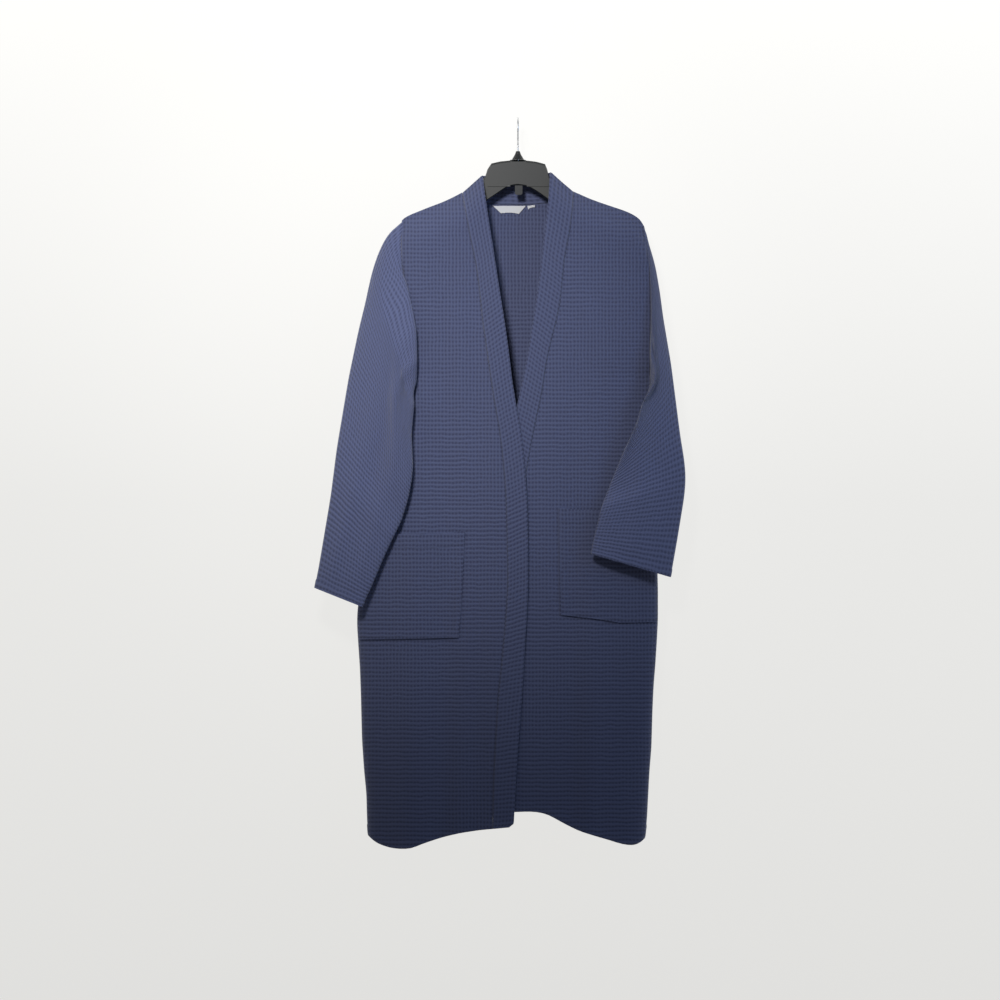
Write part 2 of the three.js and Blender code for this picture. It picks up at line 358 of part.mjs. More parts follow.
// ---- pockets ------------------------------------------------------------
function bulge(s, t) {   // s across, t down: gapes at the mouth, flat at the sides and foot
  return MOUTH * Math.pow(Math.sin(Math.PI * clamp(s, 0, 1)), 0.6) * (1 - 0.75 * t) * (1 - smooth(0.8, 1, t));
}
const pocketY = (x, z, s, t) => frontY(x, z) - CLOTH / 2 - POCKET_T / 2 - POCKET_GAP - bulge(s, t);
function pocket(left, right, top, foot) {
  return lin(8).map(t => lin(10).map(s => {
    const xt = mix(left(top(0.5)), right(top(0.5)), s);
    const z = mix(top(s), foot(s), t), x = mix(left(z), right(z), s);
    return [x, pocketY(x, z, s, t), z];
  }));
}
const PR = {
  left: z => at(SIDE_RF, z) + 5,
  right: z => at([[-886, -101.5], [-834, -97], [-750, -93], [-700, -91], [-640, -90]], z),
  top: s => at([[0, -712], [0.25, -708], [0.5, -709], [0.8, -707.5], [1, -702]], s),
  foot: () => -886,
};
const PL = {
  left: z => at([[-860, 74], [-800, 72.5], [-700, 71], [-660, 71]], z),
  right: z => at(SIDE_LF, z) - 5,
  top: s => at([[0, -663.6], [0.2, -667], [1, -668]], s),
  foot: s => at([[0, -845.5], [0.4, -852.3], [0.6, -858], [1, -857.5]], s),
};
add('right_pocket', shell(pocket(PR.left, PR.right, PR.top, PR.foot), POCKET_T));
add('left_pocket', shell(pocket(PL.left, PL.right, PL.top, PL.foot), POCKET_T));

// ---- sleeves ------------------------------------------------------------
// Each row of the tube runs from the outer edge (0) to the inner edge (1); the section is a
// flattened ring about that line, leaning forward so that it passes before the body.
function inFrontOf(x, z) {
  const l = at(SIDE_RF, z), r = at(SIDE_LF, z);
  if (z > ARM_FOOT + 2 || x < l - 4 || x > r + 4) return 0;
  let y = frontY(x, z) - CLOTH / 2;
  for (const P of [PR, PL]) {
    const zt = P.top(0.5), zb = P.foot(0.5);
    if (z < zt + 20 && z > zb - 10) {
      const s = (x - P.left(z)) / (P.right(z) - P.left(z)), t = clamp((z - zt) / (zb - zt), 0, 1);
      if (s > -0.1 && s < 1.1) y = Math.min(y, pocketY(x, z, clamp(s, 0, 1), t) - POCKET_T / 2);
    }
  }
  return y - 3.2;
}
function sleeve(OUT, IN, side, half, yOut, yIn) {
  const rows = 18, ring = 22, grid = [];
  for (let i = 0; i <= rows; i++) {
    const v = Math.pow(i / rows, 1.15);
    const O = along(OUT, v), I = along(IN, v), h = at(half, v), yo = at(yOut, v);
    let yi = at(yIn, v);
    if (i > 0) for (let k = 5; k <= 20; k++) {
      // lean the row forward until its rear wall clears the body
      const s = k / 20, x = mix(O[0], I[0], s), z = mix(O[1], I[1], s), w = Math.pow(Math.sqrt(4 * s * (1 - s)), 0.8);
      const need = inFrontOf(x, z);
      if (need < 0) yi = Math.min(yi, (need - h * w - CLOTH / 2 - yo * (1 - s)) / s);
    }
    if (i === 1) yi = Math.min(yi, -24);
    const row = [];
    for (let j = 0; j < ring; j++) {
      const a = 2 * Math.PI * j / ring, s = 0.5 - 0.5 * Math.cos(a);
      const w = Math.pow(Math.abs(Math.sin(a)), 0.8) * Math.sign(Math.sin(a));   // -1 front, +1 back
      let x = mix(O[0], I[0], s), z = mix(O[1], I[1], s), y = mix(yo, yi, s);
      if (i === 0) {
        // the armhole: follows the side edge of the front and of the back
        const zz = clamp(mix(ARM_TOP - 2, ARM_FOOT + 1, s), ARM_FOOT + 1, ARM_TOP - 2);
        const T = side < 0 ? (w < 0 ? SIDE_RF : SIDE_RB) : (w < 0 ? SIDE_LF : SIDE_LB);
        x = at(T, zz) + side * (side > 0 ? 6.8 : 5.6); z = zz;
        y = (w < 0 ? -1 : 1) * (edgeDepth(zz) + SEAM);
        if (Math.abs(w) < 0.01) y = 0;
      } else {
        // stays outside the armhole of the body
        if (z > ARM_FOOT - 60 || i === 1) {
          const T = side < 0 ? (w < 0 ? SIDE_RF : SIDE_RB) : (w < 0 ? SIDE_LF : SIDE_LB), lim = at(T, Math.max(z, ARM_FOOT + 6)) + side * (5.6 + 1.8 * i);
          const fade = i === 1 ? 1 : smooth(ARM_FOOT - 60, ARM_FOOT - 1, z);
          x = mix(x, side < 0 ? Math.min(x, lim) : Math.max(x, lim), fade);
        }
        y += h * w;
      }
      row.push([x, y, z]);
    }
    grid.push(row);
  }
  return grid;
}
const slvR = sleeve(SLV_R_OUT, SLV_R_IN, -1,
  [[0, 14], [0.1, 17], [0.3, 17], [0.6, 14], [1, 12]],
  [[0, 0], [0.15, -2], [0.5, -14], [1, -30]],
  [[0, -2], [0.05, -20], [0.12, -34], [0.5, -42], [1, -50]]);
const slvL = sleeve(SLV_L_OUT, SLV_L_IN, 1,
  [[0, 14], [0.1, 17], [0.3, 17], [0.6, 14], [1, 12]],
  [[0, 0], [0.15, -2], [0.5, -18], [1, -40]],
  [[0, -2], [0.05, -16], [0.12, -28], [0.5, -46], [1, -58]]);
// each sleeve is closed by a front half and a back half; their edges lie side by side along the
// outer and the inner fold
function half(grid, front) {
  const n = grid[0].length / 2, pick = lin(n).map((_, k) => (front ? (n + k) % (2 * n) : k));
  return grid.map(row => {
    const r = pick.map(k => [...row[k]]);
    for (const [e, m] of [[0, 1], [n, n - 1]]) r[e] = r[e].map((c, k) => mix(c, r[m][k], EDGE_SPREAD));
    return r;
  });
}
// each half is made in an upper and a lower length that meet at the elbow; the upper front is let
// out round the upper back where the two cross under the arm
function sleevePair(name, grid) {
  const lengths = h => {
    const lower = h.slice(ELBOW_ROW);
    lower[0] = lower[0].map((p, k) => p.map((c, m) => mix(c, lower[1][k][m], 0.25)));
    return [h.slice(0, ELBOW_ROW + 1), lower];
  };
  const [backUp, backLow] = lengths(half(grid, false)), [frontUp, frontLow] = lengths(half(grid, true));
  const clear = solid(shell(backUp, CLOTH + 2 * UNDERARM));
  const bodies = solid(shell(frontUp, CLOTH)).subtract(clear).decompose().sort((p, q) => q.volume() - p.volume());
  add(name + '_upper_front', geo(bodies[0]));
  add(name + '_upper_back', shell(backUp, CLOTH));
  add(name + '_lower_front', shell(frontLow, CLOTH));
  add(name + '_lower_back', shell(backLow, CLOTH));
}
sleevePair('right_sleeve', slvR);
sleevePair('left_sleeve', slvL);

// ---- labels -------------------------------------------------------------
// neck label and size tab on the inside of the back, just below the neck seam, both blank
function label(pts, t, yoff) {
  const [a, b, c, d] = pts;   // corners: top left, top right, foot right, foot left
  return shell(lin(2).map(v => lin(4).map(u => {
    const x = mix(mix(a[0], b[0], u), mix(d[0], c[0], u), v), z = mix(mix(a[1], b[1], u), mix(d[1], c[1], u), v);
    return [x, backY(x, z) - CLOTH / 2 - yoff, z];
  })), t);
}
add('neck_label', label([[-42.5, -149.6], [13.6, -149.6], [1.7, -160.4], [-28.9, -159.6]], 0.8, 1.6), 0xe9e7e2, 0.8);
add('size_tab', label([[16, -149.4], [29, -149.4], [28.9, -158], [17.7, -158]], 0.8, 1.6), 0xe9e7e2, 0.8);
// care label inside the left side seam
add('care_label', shell(lin(4).map(v => lin(2).map(u => [203 + 25 * u, mix(3, 1.5, u), mix(-940, -990, v)])), 0.8), 0xe9e7e2, 0.8);

export default group;
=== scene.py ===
import bpy, math
import numpy as np
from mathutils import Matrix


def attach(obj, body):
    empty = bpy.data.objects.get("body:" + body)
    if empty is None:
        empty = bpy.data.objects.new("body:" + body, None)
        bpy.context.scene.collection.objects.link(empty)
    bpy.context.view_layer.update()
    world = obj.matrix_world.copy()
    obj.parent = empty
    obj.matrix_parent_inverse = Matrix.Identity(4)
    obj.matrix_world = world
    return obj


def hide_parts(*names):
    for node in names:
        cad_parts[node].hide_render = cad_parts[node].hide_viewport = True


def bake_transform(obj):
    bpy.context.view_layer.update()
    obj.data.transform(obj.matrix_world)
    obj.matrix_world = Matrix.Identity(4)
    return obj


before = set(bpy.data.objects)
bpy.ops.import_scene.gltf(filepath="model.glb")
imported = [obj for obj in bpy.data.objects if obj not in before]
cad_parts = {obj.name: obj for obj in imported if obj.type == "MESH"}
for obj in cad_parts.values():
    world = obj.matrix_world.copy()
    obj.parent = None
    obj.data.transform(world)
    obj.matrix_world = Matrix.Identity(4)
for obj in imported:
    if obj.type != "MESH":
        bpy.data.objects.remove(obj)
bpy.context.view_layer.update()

MM = 0.001
RIDGE = [[-226.1,-196.1],[-219.3,-191.0],[-200.6,-174.0],[-192.1,-168.1],[-183.6,-163.8],[-166.6,-157.0],[-149.6,-150.2],[-130.9,-143.4],[-115.6,-136.6],[-102.0,-129.8],[-90.1,-123.0],[-81.6,-116.2],[-74.8,-109.4],[-68.0,-102.6],[-61.2,-95.8],[-54.4,-89.0],[-49.3,-82.2],[-39.1,-70.3],[-22.1,-58.4],[-1.7,-53.3],[20.4,-58.4],[37.4,-70.3],[46.8,-78.8],[52.7,-86.6],[59.5,-95.8],[66.3,-102.6],[71.4,-109.4],[79.9,-116.2],[91.8,-123.0],[107.1,-129.8],[122.4,-136.6],[141.1,-143.4],[161.5,-150.2],[181.9,-157.0],[197.2,-163.8],[209.1,-172.3],[217.6,-184.2],[224.4,-208.0]]
SIDE_RF = [[-1245.0,-251.6],[-1217.8,-255.0],[-1194.0,-256.7],[-1151.5,-257.6],[-1109.0,-261.8],[-1058.0,-265.2],[-990.0,-266.9],[-939.0,-268.6],[-888.0,-272.0],[-862.5,-273.7],[-837.0,-272.9],[-752.0,-260.1],[-650.0,-246.5],[-573.5,-234.6],[-497.0,-220.2],[-463.0,-210.8],[-444.3,-204.9],[-432.4,-197.2],[-422.2,-187.0],[-408.6,-178.5],[-391.6,-174.2],[-369.5,-176.0],[-337.2,-181.9],[-293.0,-190.4],[-245.4,-196.4],[-208.0,-198.9],[-177.4,-197.2],[-140.0,-198.9]]
SIDE_RB = [[-1245.0,-251.6],[-1217.8,-255.0],[-1194.0,-256.7],[-1151.5,-257.6],[-1109.0,-261.8],[-1058.0,-265.2],[-990.0,-266.9],[-939.0,-268.6],[-888.0,-272.0],[-862.5,-273.7],[-837.0,-272.9],[-752.0,-260.1],[-650.0,-246.5],[-573.5,-234.6],[-497.0,-220.2],[-463.0,-210.8],[-444.3,-204.9],[-432.4,-198.9],[-395.0,-197.2],[-310.0,-197.2],[-177.4,-197.2],[-140.0,-198.9]]
SIDE_LF = [[-1245.0,212.5],[-1217.8,216.7],[-1194.0,219.3],[-1160.0,221.0],[-1112.4,223.5],[-1071.6,226.9],[-1010.4,228.6],[-969.6,230.4],[-928.8,233.7],[-888.0,236.3],[-854.0,238.0],[-803.0,238.0],[-701.0,235.4],[-599.0,232.9],[-514.0,230.4],[-463.0,227.8],[-432.4,226.1],[-408.6,224.4],[-386.5,224.4],[-352.5,226.1],[-310.0,226.1],[-267.5,224.4],[-228.4,221.9],[-197.8,217.6],[-177.4,213.4],[-140.0,212.5]]
SIDE_LB = [[-1245.0,212.5],[-1217.8,216.7],[-1194.0,219.3],[-1160.0,221.0],[-1112.4,223.5],[-1071.6,226.9],[-1010.4,228.6],[-969.6,230.4],[-928.8,233.7],[-888.0,236.3],[-854.0,238.0],[-803.0,238.0],[-701.0,235.4],[-599.0,232.9],[-514.0,230.4],[-463.0,227.8],[-432.4,226.1],[-408.6,224.4],[-386.5,224.4],[-352.5,223.5],[-310.0,222.7],[-267.5,221.0],[-228.4,219.3],[-197.8,217.6],[-177.4,213.4],[-140.0,212.5]]
EDGE_R = [[-1245.0,-8.5],[-1211.0,-7.7],[-1178.7,-6.0],[-1126.0,-3.4],[-1062.2,0.8],[-984.0,7.0],[-918.6,10.9],[-854.0,15.0],[-794.5,17.5],[-726.5,17.5],[-660.2,16.1],[-621.1,14.3],[-582.0,10.7],[-529.3,4.8],[-488.5,-2.9],[-446.0,-9.9],[-398.4,-15.3],[-357.3,-20.9],[-324.3,-26.0],[-285.2,-32.3],[-244.0,-38.4],[-211.1,-43.5],[-180.1,-48.6],[-141.0,-54.4],[-120.4,-57.8],[-99.9,-59.5],[-92.4,-60.4],[-72.0,-61.2]]
SEAM_R = [[-1245.0,-44.2],[-1211.0,-43.4],[-1178.7,-42.5],[-1126.0,-41.7],[-1062.2,-38.6],[-984.0,-34.0],[-918.6,-27.2],[-854.0,-21.2],[-794.5,-17.3],[-726.5,-18.4],[-660.2,-20.1],[-621.1,-22.1],[-582.0,-25.8],[-529.3,-31.8],[-488.5,-39.4],[-446.0,-45.9],[-386.5,-54.4],[-344.0,-60.4],[-301.5,-64.6],[-259.0,-69.7],[-230.1,-75.7],[-202.9,-81.6],[-174.0,-86.7],[-140.0,-92.7],[-124.7,-95.2],[-106.0,-98.6],[-72.0,-100.3]]
EDGE_L = [[-1245.0,-47.6],[-1182.1,-46.8],[-1024.0,-42.5],[-922.0,-40.8],[-820.0,-38.2],[-752.0,-37.4],[-684.0,-34.0],[-633.0,-27.2],[-573.5,-18.7],[-522.5,-8.5],[-485.1,-0.9],[-457.9,5.1],[-420.5,12.8],[-386.5,18.7],[-344.0,25.5],[-287.9,34.0],[-245.4,39.1],[-202.9,43.3],[-172.3,47.6],[-140.0,51.8],[-123.0,52.7],[-99.2,54.4],[-85.6,55.2],[-72.0,56.1]]
SEAM_L = [[-1245.0,-10.2],[-1182.1,-9.4],[-1024.0,-5.1],[-922.0,-3.4],[-820.0,-0.9],[-752.0,0.0],[-684.0,3.4],[-633.0,10.2],[-573.5,18.7],[-522.5,28.9],[-488.5,36.5],[-457.9,42.5],[-415.4,48.4],[-383.1,55.2],[-344.0,66.3],[-306.6,73.1],[-276.0,75.6],[-247.1,78.2],[-221.6,82.4],[-194.4,88.4],[-165.5,91.8],[-140.0,94.3],[-124.7,95.2],[-106.0,96.0],[-72.0,96.9]]
HEM_R = [[-268.6,-1211.0],[-256.7,-1217.8],[-251.6,-1224.6],[-244.8,-1230.5],[-236.3,-1235.6],[-217.6,-1241.6],[-200.6,-1243.3],[-181.9,-1242.5],[-161.5,-1234.0],[-132.6,-1224.6],[-98.6,-1216.1],[-64.6,-1211.0],[-30.6,-1207.6],[-5.1,-1205.9],[37.4,-1204.2]]
HEM_L = [[-64.6,-1182.1],[-3.4,-1180.4],[20.4,-1179.5],[39.1,-1181.2],[52.7,-1185.5],[78.2,-1200.0],[102.0,-1211.8],[130.9,-1221.2],[156.4,-1228.8],[176.8,-1235.6],[195.5,-1238.2],[208.2,-1234.0],[215.9,-1226.3],[221.0,-1217.8],[232.9,-1207.6]]
HEM_B = [[-268.6,-1207.6],[-256.7,-1217.8],[-241.4,-1222.9],[-200.6,-1222.9],[-132.6,-1209.3],[-64.6,-1197.4],[-5.1,-1190.6],[54.4,-1190.6],[122.4,-1205.9],[173.4,-1219.5],[204.0,-1222.9],[215.9,-1219.5],[221.0,-1216.1],[232.9,-1207.6]]
NECKLINE = [[-81.6,-112.8],[-61.2,-95.8],[-57.8,-94.9],[-47.6,-98.3],[-30.6,-103.4],[-1.7,-106.0],[28.9,-103.4],[42.5,-98.3],[56.1,-90.7],[59.5,-95.8],[79.9,-112.8]]
NECKSEAM = [[-132.6,-143.4],[-115.6,-135.8],[-100.3,-129.8],[-88.4,-134.9],[-64.6,-141.7],[-30.6,-145.1],[-1.7,-145.9],[28.9,-145.1],[59.5,-141.7],[81.6,-134.9],[96.9,-128.1],[112.2,-132.3],[130.9,-140.0]]
SLV_R_OUT = [[-197.2,-175.7],[-219.3,-194.4],[-231.2,-214.8],[-239.7,-235.2],[-246.5,-255.6],[-251.6,-276.0],[-260.1,-316.8],[-270.3,-357.6],[-278.8,-398.4],[-287.3,-439.2],[-294.1,-480.0],[-300.9,-520.8],[-307.7,-561.6],[-312.8,-602.4],[-317.9,-643.2],[-324.7,-684.0],[-331.5,-724.8],[-338.3,-765.6],[-345.1,-799.6]]
SLV_R_IN = [[-197.2,-432.4],[-187.0,-435.8],[-178.5,-444.3],[-174.2,-466.4],[-179.4,-514.0],[-181.1,-537.8],[-179.9,-568.4],[-178.8,-592.2],[-181.1,-616.0],[-187.0,-647.6],[-198.9,-685.7],[-213.2,-714.6],[-229.8,-750.3],[-248.9,-795.5],[-265.2,-831.0]]
SLV_L_OUT = [[213.4,-175.7],[222.7,-214.8],[229.5,-235.2],[234.6,-255.6],[241.4,-296.4],[246.5,-337.2],[253.3,-378.0],[260.1,-418.8],[265.2,-459.6],[270.3,-500.4],[275.4,-541.2],[282.2,-582.0],[284.7,-612.6],[282.2,-643.2],[275.4,-684.0],[268.6,-724.8],[261.8,-762.2],[258.4,-780.9]]
SLV_L_IN = [[225.2,-432.4],[222.7,-435.8],[219.3,-446.0],[215.9,-466.4],[207.4,-510.6],[193.8,-539.5],[180.2,-566.7],[161.5,-612.6],[142.8,-660.2],[132.6,-701.0],[125.8,-731.6],[124.9,-741.8]]
PLATE_TOP = [[-56.1,-90.7],[-45.2,-75.7],[-30.6,-72.5],[-14.5,-70.8],[20.4,-70.8],[32.3,-72.8],[46.4,-76.2],[55.2,-89.8]]
ARCH = [[-81.6,-160.4],[-55.1,-140.0],[-38.2,-128.9],[-22.1,-117.9],[-11.1,-113.6],[-0.9,-112.1],[16.0,-114.5],[26.9,-120.3],[37.7,-127.2],[55.2,-140.0],[81.6,-160.4]]

CELL_U, CELL_V = 5.9, 7.5          # waffle cell across and down, mm
FRONT_H0, FRONT_K, BACK_H, ROLL, SEAM = 24.0, 0.008, 26.0, 55.0, 1.2
FOLD_R = [[-54.4, -148.5], [-107.1, -1228.0]]
FOLD_L = [[54.4, -140.0], [69.7, -1228.0]]
ARM_TOP, ARM_FOOT = -174.0, -432.0


def curve(table, sigma):
    """A traced outline as a smooth function."""
    t = np.array(table, float)
    g = np.arange(t[0, 0] - 6 * sigma, t[-1, 0] + 6 * sigma + 1, 1.0)
    v = np.interp(g, t[:, 0], t[:, 1])
    # keep the slope past the ends
    a, b = (t[1, 1] - t[0, 1]) / (t[1, 0] - t[0, 0]), (t[-1, 1] - t[-2, 1]) / (t[-1, 0] - t[-2, 0])
    v = np.where(g < t[0, 0], t[0, 1] + a * (g - t[0, 0]), v)
    v = np.where(g > t[-1, 0], t[-1, 1] + b * (g - t[-1, 0]), v)
    k = np.exp(-0.5 * (np.arange(-3 * sigma, 3 * sigma + 1) / sigma) ** 2)
    k /= k.sum()
    n = len(k) // 2
    v2 = np.convolve(v, k, "same")
    v2[:n], v2[-n:] = v[:n], v[-n:]
    return lambda x: np.interp(x, g, v2)


def path(poly, n=400, sigma=6):
    """A traced outline as a smooth function of the fraction of its length."""
    p = np.array(poly, float)
    L = np.concatenate([[0], np.cumsum(np.hypot(*np.diff(p, axis=0).T))])
    s = np.linspace(0, L[-1], n)
    x, z = np.interp(s, L, p[:, 0]), np.interp(s, L, p[:, 1])
    k = np.exp(-0.5 * (np.arange(-3 * sigma, 3 * sigma + 1) / sigma) ** 2)
    k /= k.sum()
    def sm(v):
        e = np.concatenate([2 * v[0] - v[1:3 * sigma + 1][::-1], v, 2 * v[-1] - v[-3 * sigma - 1:-1][::-1]])
        return np.convolve(e, k, "valid")
    x, z = sm(x), sm(z)
    u = np.linspace(0, 1, n)
    return lambda t: (np.interp(t, u, x), np.interp(t, u, z))


ridge = curve(RIDGE, 4)
side_rf, side_rb = curve(SIDE_RF, 7), curve(SIDE_RB, 7)
side_lf, side_lb = curve(SIDE_LF, 7), curve(SIDE_LB, 7)
edge_r, seam_r = curve(EDGE_R, 12), curve(SEAM_R, 12)
edge_l, seam_l = curve(EDGE_L, 12), curve(SEAM_L, 12)
hem_r, hem_l, hem_b = curve(HEM_R, 5), curve(HEM_L, 6), curve(HEM_B, 10)
neckline, neckseam = curve(NECKLINE, 4), curve(NECKSEAM, 4)


def sm01(a, b, x):
    t = np.clip((x - a) / (b - a), 0, 1)
    return t * t * (3 - 2 * t)


def bump1(x, c, w):
    return np.exp(-((x - c) / w) ** 2)


def on_line(line, z):
    return line[0][0] + (line[1][0] - line[0][0]) * (z - line[0][1]) / (line[1][1] - line[0][1])


def edge_depth(z):
    t = np.clip((z - ARM_TOP) / (ARM_FOOT - ARM_TOP), 0, 1)
    return 15 * np.sin(math.pi * t) ** 0.35


def depth(x, z, front):
    l, r = (side_rf, side_lf) if front else (side_rb, side_lb)
    l, r = l(z), r(z)
    u = np.clip(np.abs((2 * x - l - r) / (r - l)), 0, 1)
    e = np.clip(1 - u ** 3, 0, 1) ** (1 / 3)
    H = FRONT_H0 + FRONT_K * (-150 - z) if front else BACK_H
    d = np.clip((ridge(x) - z) / ROLL, 0, 1)
    return np.sin(math.pi / 2 * d) * (H * e + edge_depth(z) * (1 - e))


def folds(x, z, front):
    """Slow hanging folds, in mm towards the viewer; none at the side seams."""
    l, r = side_rf(z), side_lf(z)
    u = (2 * x - l - r) / (r - l)
    inside = sm01(1.0, 0.75, np.abs(u))
    low = sm01(-380, -1150, z)
    f = 0.0
    if front:
        # right front: a soft pleat from the shoulder, flaring to the hem
        f = f + (1.2 + 4.5 * low) * bump1(x, -175 - 6 * low, 26 + 8 * low)
        f = f - (1.5 + 2.6 * low) * bump1(x, -124, 20)
        f = f + 2.0 * bump1(x, -92 + 12 * np.sin(z / 160), 16) * sm01(-250, -420, z)
        # left front
        f = f + (1.0 + 5.0 * low) * bump1(x, 150 + 0.03 * z, 30)
        f = f - (1.0 + 3.0 * low) * bump1(x, 98, 20)
        f = f + 3.0 * bump1(x + 0.45 * (z + 330), 118, 26) * bump1(z, -360, 110)
        # drag lines under the arms
        f = f + 2.2 * bump1(x - 0.35 * (z + 430), 206, 12) * bump1(z, -450, 60)
        f = f + 2.0 * bump1(x + 0.45 * (z + 460), -168, 16) * bump1(z, -480, 80)
    else:
        f = 2.0 * np.sin(x / 33.0 + 0.6) * (0.3 + 0.9 * low) + 1.2 * np.sin(x / 19.0 - z / 240) * low
    # the slight unevenness of washed cloth
    f = f + 0.35 * np.sin(x / 23 + z / 61) + 0.3 * np.sin(x / 37 - z / 43 + 1.0)
    return f * inside * sm01(0, 60, ridge(x) - z)


def front_y(x, z):
    return -(depth(x, z, True) + SEAM + folds(x, z, True))


def back_y(x, z):
    return depth(x, z, False) + SEAM + folds(x, z, False)


OVERLAP = 5.0


def over_y(x, z):
    return front_y(x, z) - OVERLAP * sm01(-75, -36, x) * sm01(-150, -330, z)


# ---- materials ----------------------------------------------------------
def nodes_of(name):
    m = bpy.data.materials.new(name)
    m.use_nodes = True
    t = m.node_tree
    return m, t, t.nodes["Principled BSDF"]


def math_node(t, op, a, b=None, c=None, clamp=False):
    n = t.nodes.new("ShaderNodeMath")
    n.operation = op
    n.use_clamp = clamp
    for i, v in enumerate((a, b, c)):
        if v is None:
            continue
        if isinstance(v, (int, float)):
            n.inputs[i].default_value = v
        else:
            t.links.new(v, n.inputs[i])
    return n.outputs[0]


def waffle(name, dark, light, relief=0.0011):
    """Waffle weave: raised ribs both ways round a sunk cell, driven by cloth coordinates counted in cells."""
    m, t, p = nodes_of(name)
    L = t.links.new
    uv = t.nodes.new("ShaderNodeUVMap")
    uv.uv_map = "cloth"
    warp = t.nodes.new("ShaderNodeTexNoise")
    warp.inputs["Scale"].default_value = 0.33
    warp.inputs["Detail"].default_value = 2.0
    L(uv.outputs[0], warp.inputs["Vector"])
    sepw = t.nodes.new("ShaderNodeSeparateColor")
    L(warp.outputs["Color"], sepw.inputs[0])
    sep = t.nodes.new("ShaderNodeSeparateXYZ")
    L(uv.outputs[0], sep.inputs[0])
    u = math_node(t, "MULTIPLY_ADD", sepw.outputs[0], 0.55, sep.outputs[0])
    v = math_node(t, "MULTIPLY_ADD", sepw.outputs[1], 0.55, sep.outputs[1])
    ru = math_node(t, "POWER", math_node(t, "ABSOLUTE", math_node(t, "COSINE", math_node(t, "MULTIPLY", u, math.pi))), 2.6)
    rv = math_node(t, "POWER", math_node(t, "ABSOLUTE", math_node(t, "COSINE", math_node(t, "MULTIPLY", v, math.pi))), 2.0)
    # the ribs down the cloth stand out above, the rows across it below
    co = t.nodes.new("ShaderNodeTexCoord")
    so = t.nodes.new("ShaderNodeSeparateXYZ")
    L(co.outputs["Object"], so.inputs[0])
    zone = t.nodes.new("ShaderNodeTexNoise")
    zone.inputs["Scale"].default_value = 7.0
    zone.inputs["Detail"].default_value = 1.0
    L(co.outputs["Object"], zone.inputs["Vector"])
    rib = math_node(t, "MULTIPLY_ADD", so.outputs[2], 0.9, 0.98)
    rib = math_node(t, "MULTIPLY_ADD", math_node(t, "SUBTRACT", zone.outputs["Fac"], 0.5), 1.7, rib, clamp=True)
    iu = math_node(t, "SUBTRACT", 1.0, math_node(t, "MULTIPLY", ru, math_node(t, "MULTIPLY_ADD", rib, 0.62, 0.30)))
    iv = math_node(t, "SUBTRACT", 1.0, math_node(t, "MULTIPLY", rv, math_node(t, "MULTIPLY_ADD", rib, -0.50, 0.95)))
    h = math_node(t, "SUBTRACT", 1.0, math_node(t, "MULTIPLY", iu, iv), clamp=True)
    # yarns: fine fuzz
    yarn = t.nodes.new("ShaderNodeTexNoise")
    yarn.inputs["Scale"].default_value = 6.0
    yarn.inputs["Detail"].default_value = 3.0
    yarn.inputs["Roughness"].default_value = 0.65
    L(uv.outputs[0], yarn.inputs["Vector"])
    hh = math_node(t, "MULTIPLY_ADD", yarn.outputs["Fac"], 0.35, h)
    b = t.nodes.new("ShaderNodeBump")
    b.inputs["Strength"].default_value = 1.0
    b.inputs["Distance"].default_value = relief
    L(hh, b.inputs["Height"])
    L(b.outputs[0], p.inputs["Normal"])
    # painted shade: the colour ramp darkens the sunk cells of the weave towards the dark colour; the yarn fuzz adds
    # real random tone
    ramp = t.nodes.new("ShaderNodeValToRGB")
    ramp.color_ramp.elements[0].position = 0.12
    ramp.color_ramp.elements[0].color = (*dark, 1)
    ramp.color_ramp.elements[1].position = 0.95
    ramp.color_ramp.elements[1].color = (*light, 1)
    L(hh, ramp.inputs[0])
    L(ramp.outputs[0], p.inputs["Base Color"])
    p.inputs["Roughness"].default_value = 0.92
    p.inputs["Specular IOR Level"].default_value = 0.18
    p.inputs["Sheen Weight"].default_value = 0.25
    p.inputs["Sheen Roughness"].default_value = 0.5
    return m


def plain(name, color, rough, metal=0.0, scale=400.0, relief=0.00006, spec=0.5):
    m, t, p = nodes_of(name)
    p.inputs["Base Color"].default_value = (*color, 1)
    p.inputs["Roughness"].default_value = rough
    p.inputs["Metallic"].default_value = metal
    p.inputs["Specular IOR Level"].default_value = spec
    if relief:
        co = t.nodes.new("ShaderNodeTexCoord")
        n = t.nodes.new("ShaderNodeTexNoise")
        n.inputs["Scale"].default_value = scale
        t.links.new(co.outputs["Object"], n.inputs["Vector"])
        b = t.nodes.new("ShaderNodeBump")
        b.inputs["Distance"].default_value = relief
        t.links.new(n.outputs["Fac"], b.inputs["Height"])
        t.links.new(b.outputs[0], p.inputs["Normal"])
    return m


# navy cloth colours: the darker one is painted shade for the weave's sunk cells, the lighter one the ridge tops
NAVY_PIT_SHADE, NAVY_RIDGE = (0.044, 0.051, 0.102), (0.083, 0.098, 0.184)
SLEEVE_PAINTED_BRIGHTNESS = 1.28                   # painted light: the sleeve colours are raised 1.28 times to stand in for the extra light the sleeves catch
M_CLOTH = waffle("waffle_cloth", NAVY_PIT_SHADE, NAVY_RIDGE)
M_BAND = waffle("waffle_band", NAVY_PIT_SHADE, NAVY_RIDGE, 0.0009)
M_SLEEVE_PAINTED_BRIGHT = waffle("waffle_sleeve_painted_light", tuple(c * SLEEVE_PAINTED_BRIGHTNESS for c in NAVY_PIT_SHADE), tuple(c * SLEEVE_PAINTED_BRIGHTNESS for c in NAVY_RIDGE))
M_THREAD = plain("thread_navy", (0.055, 0.062, 0.12), 0.7)
M_LABEL = plain("label_satin", (0.50, 0.51, 0.54), 0.5, scale=2500.0, relief=0.00008)
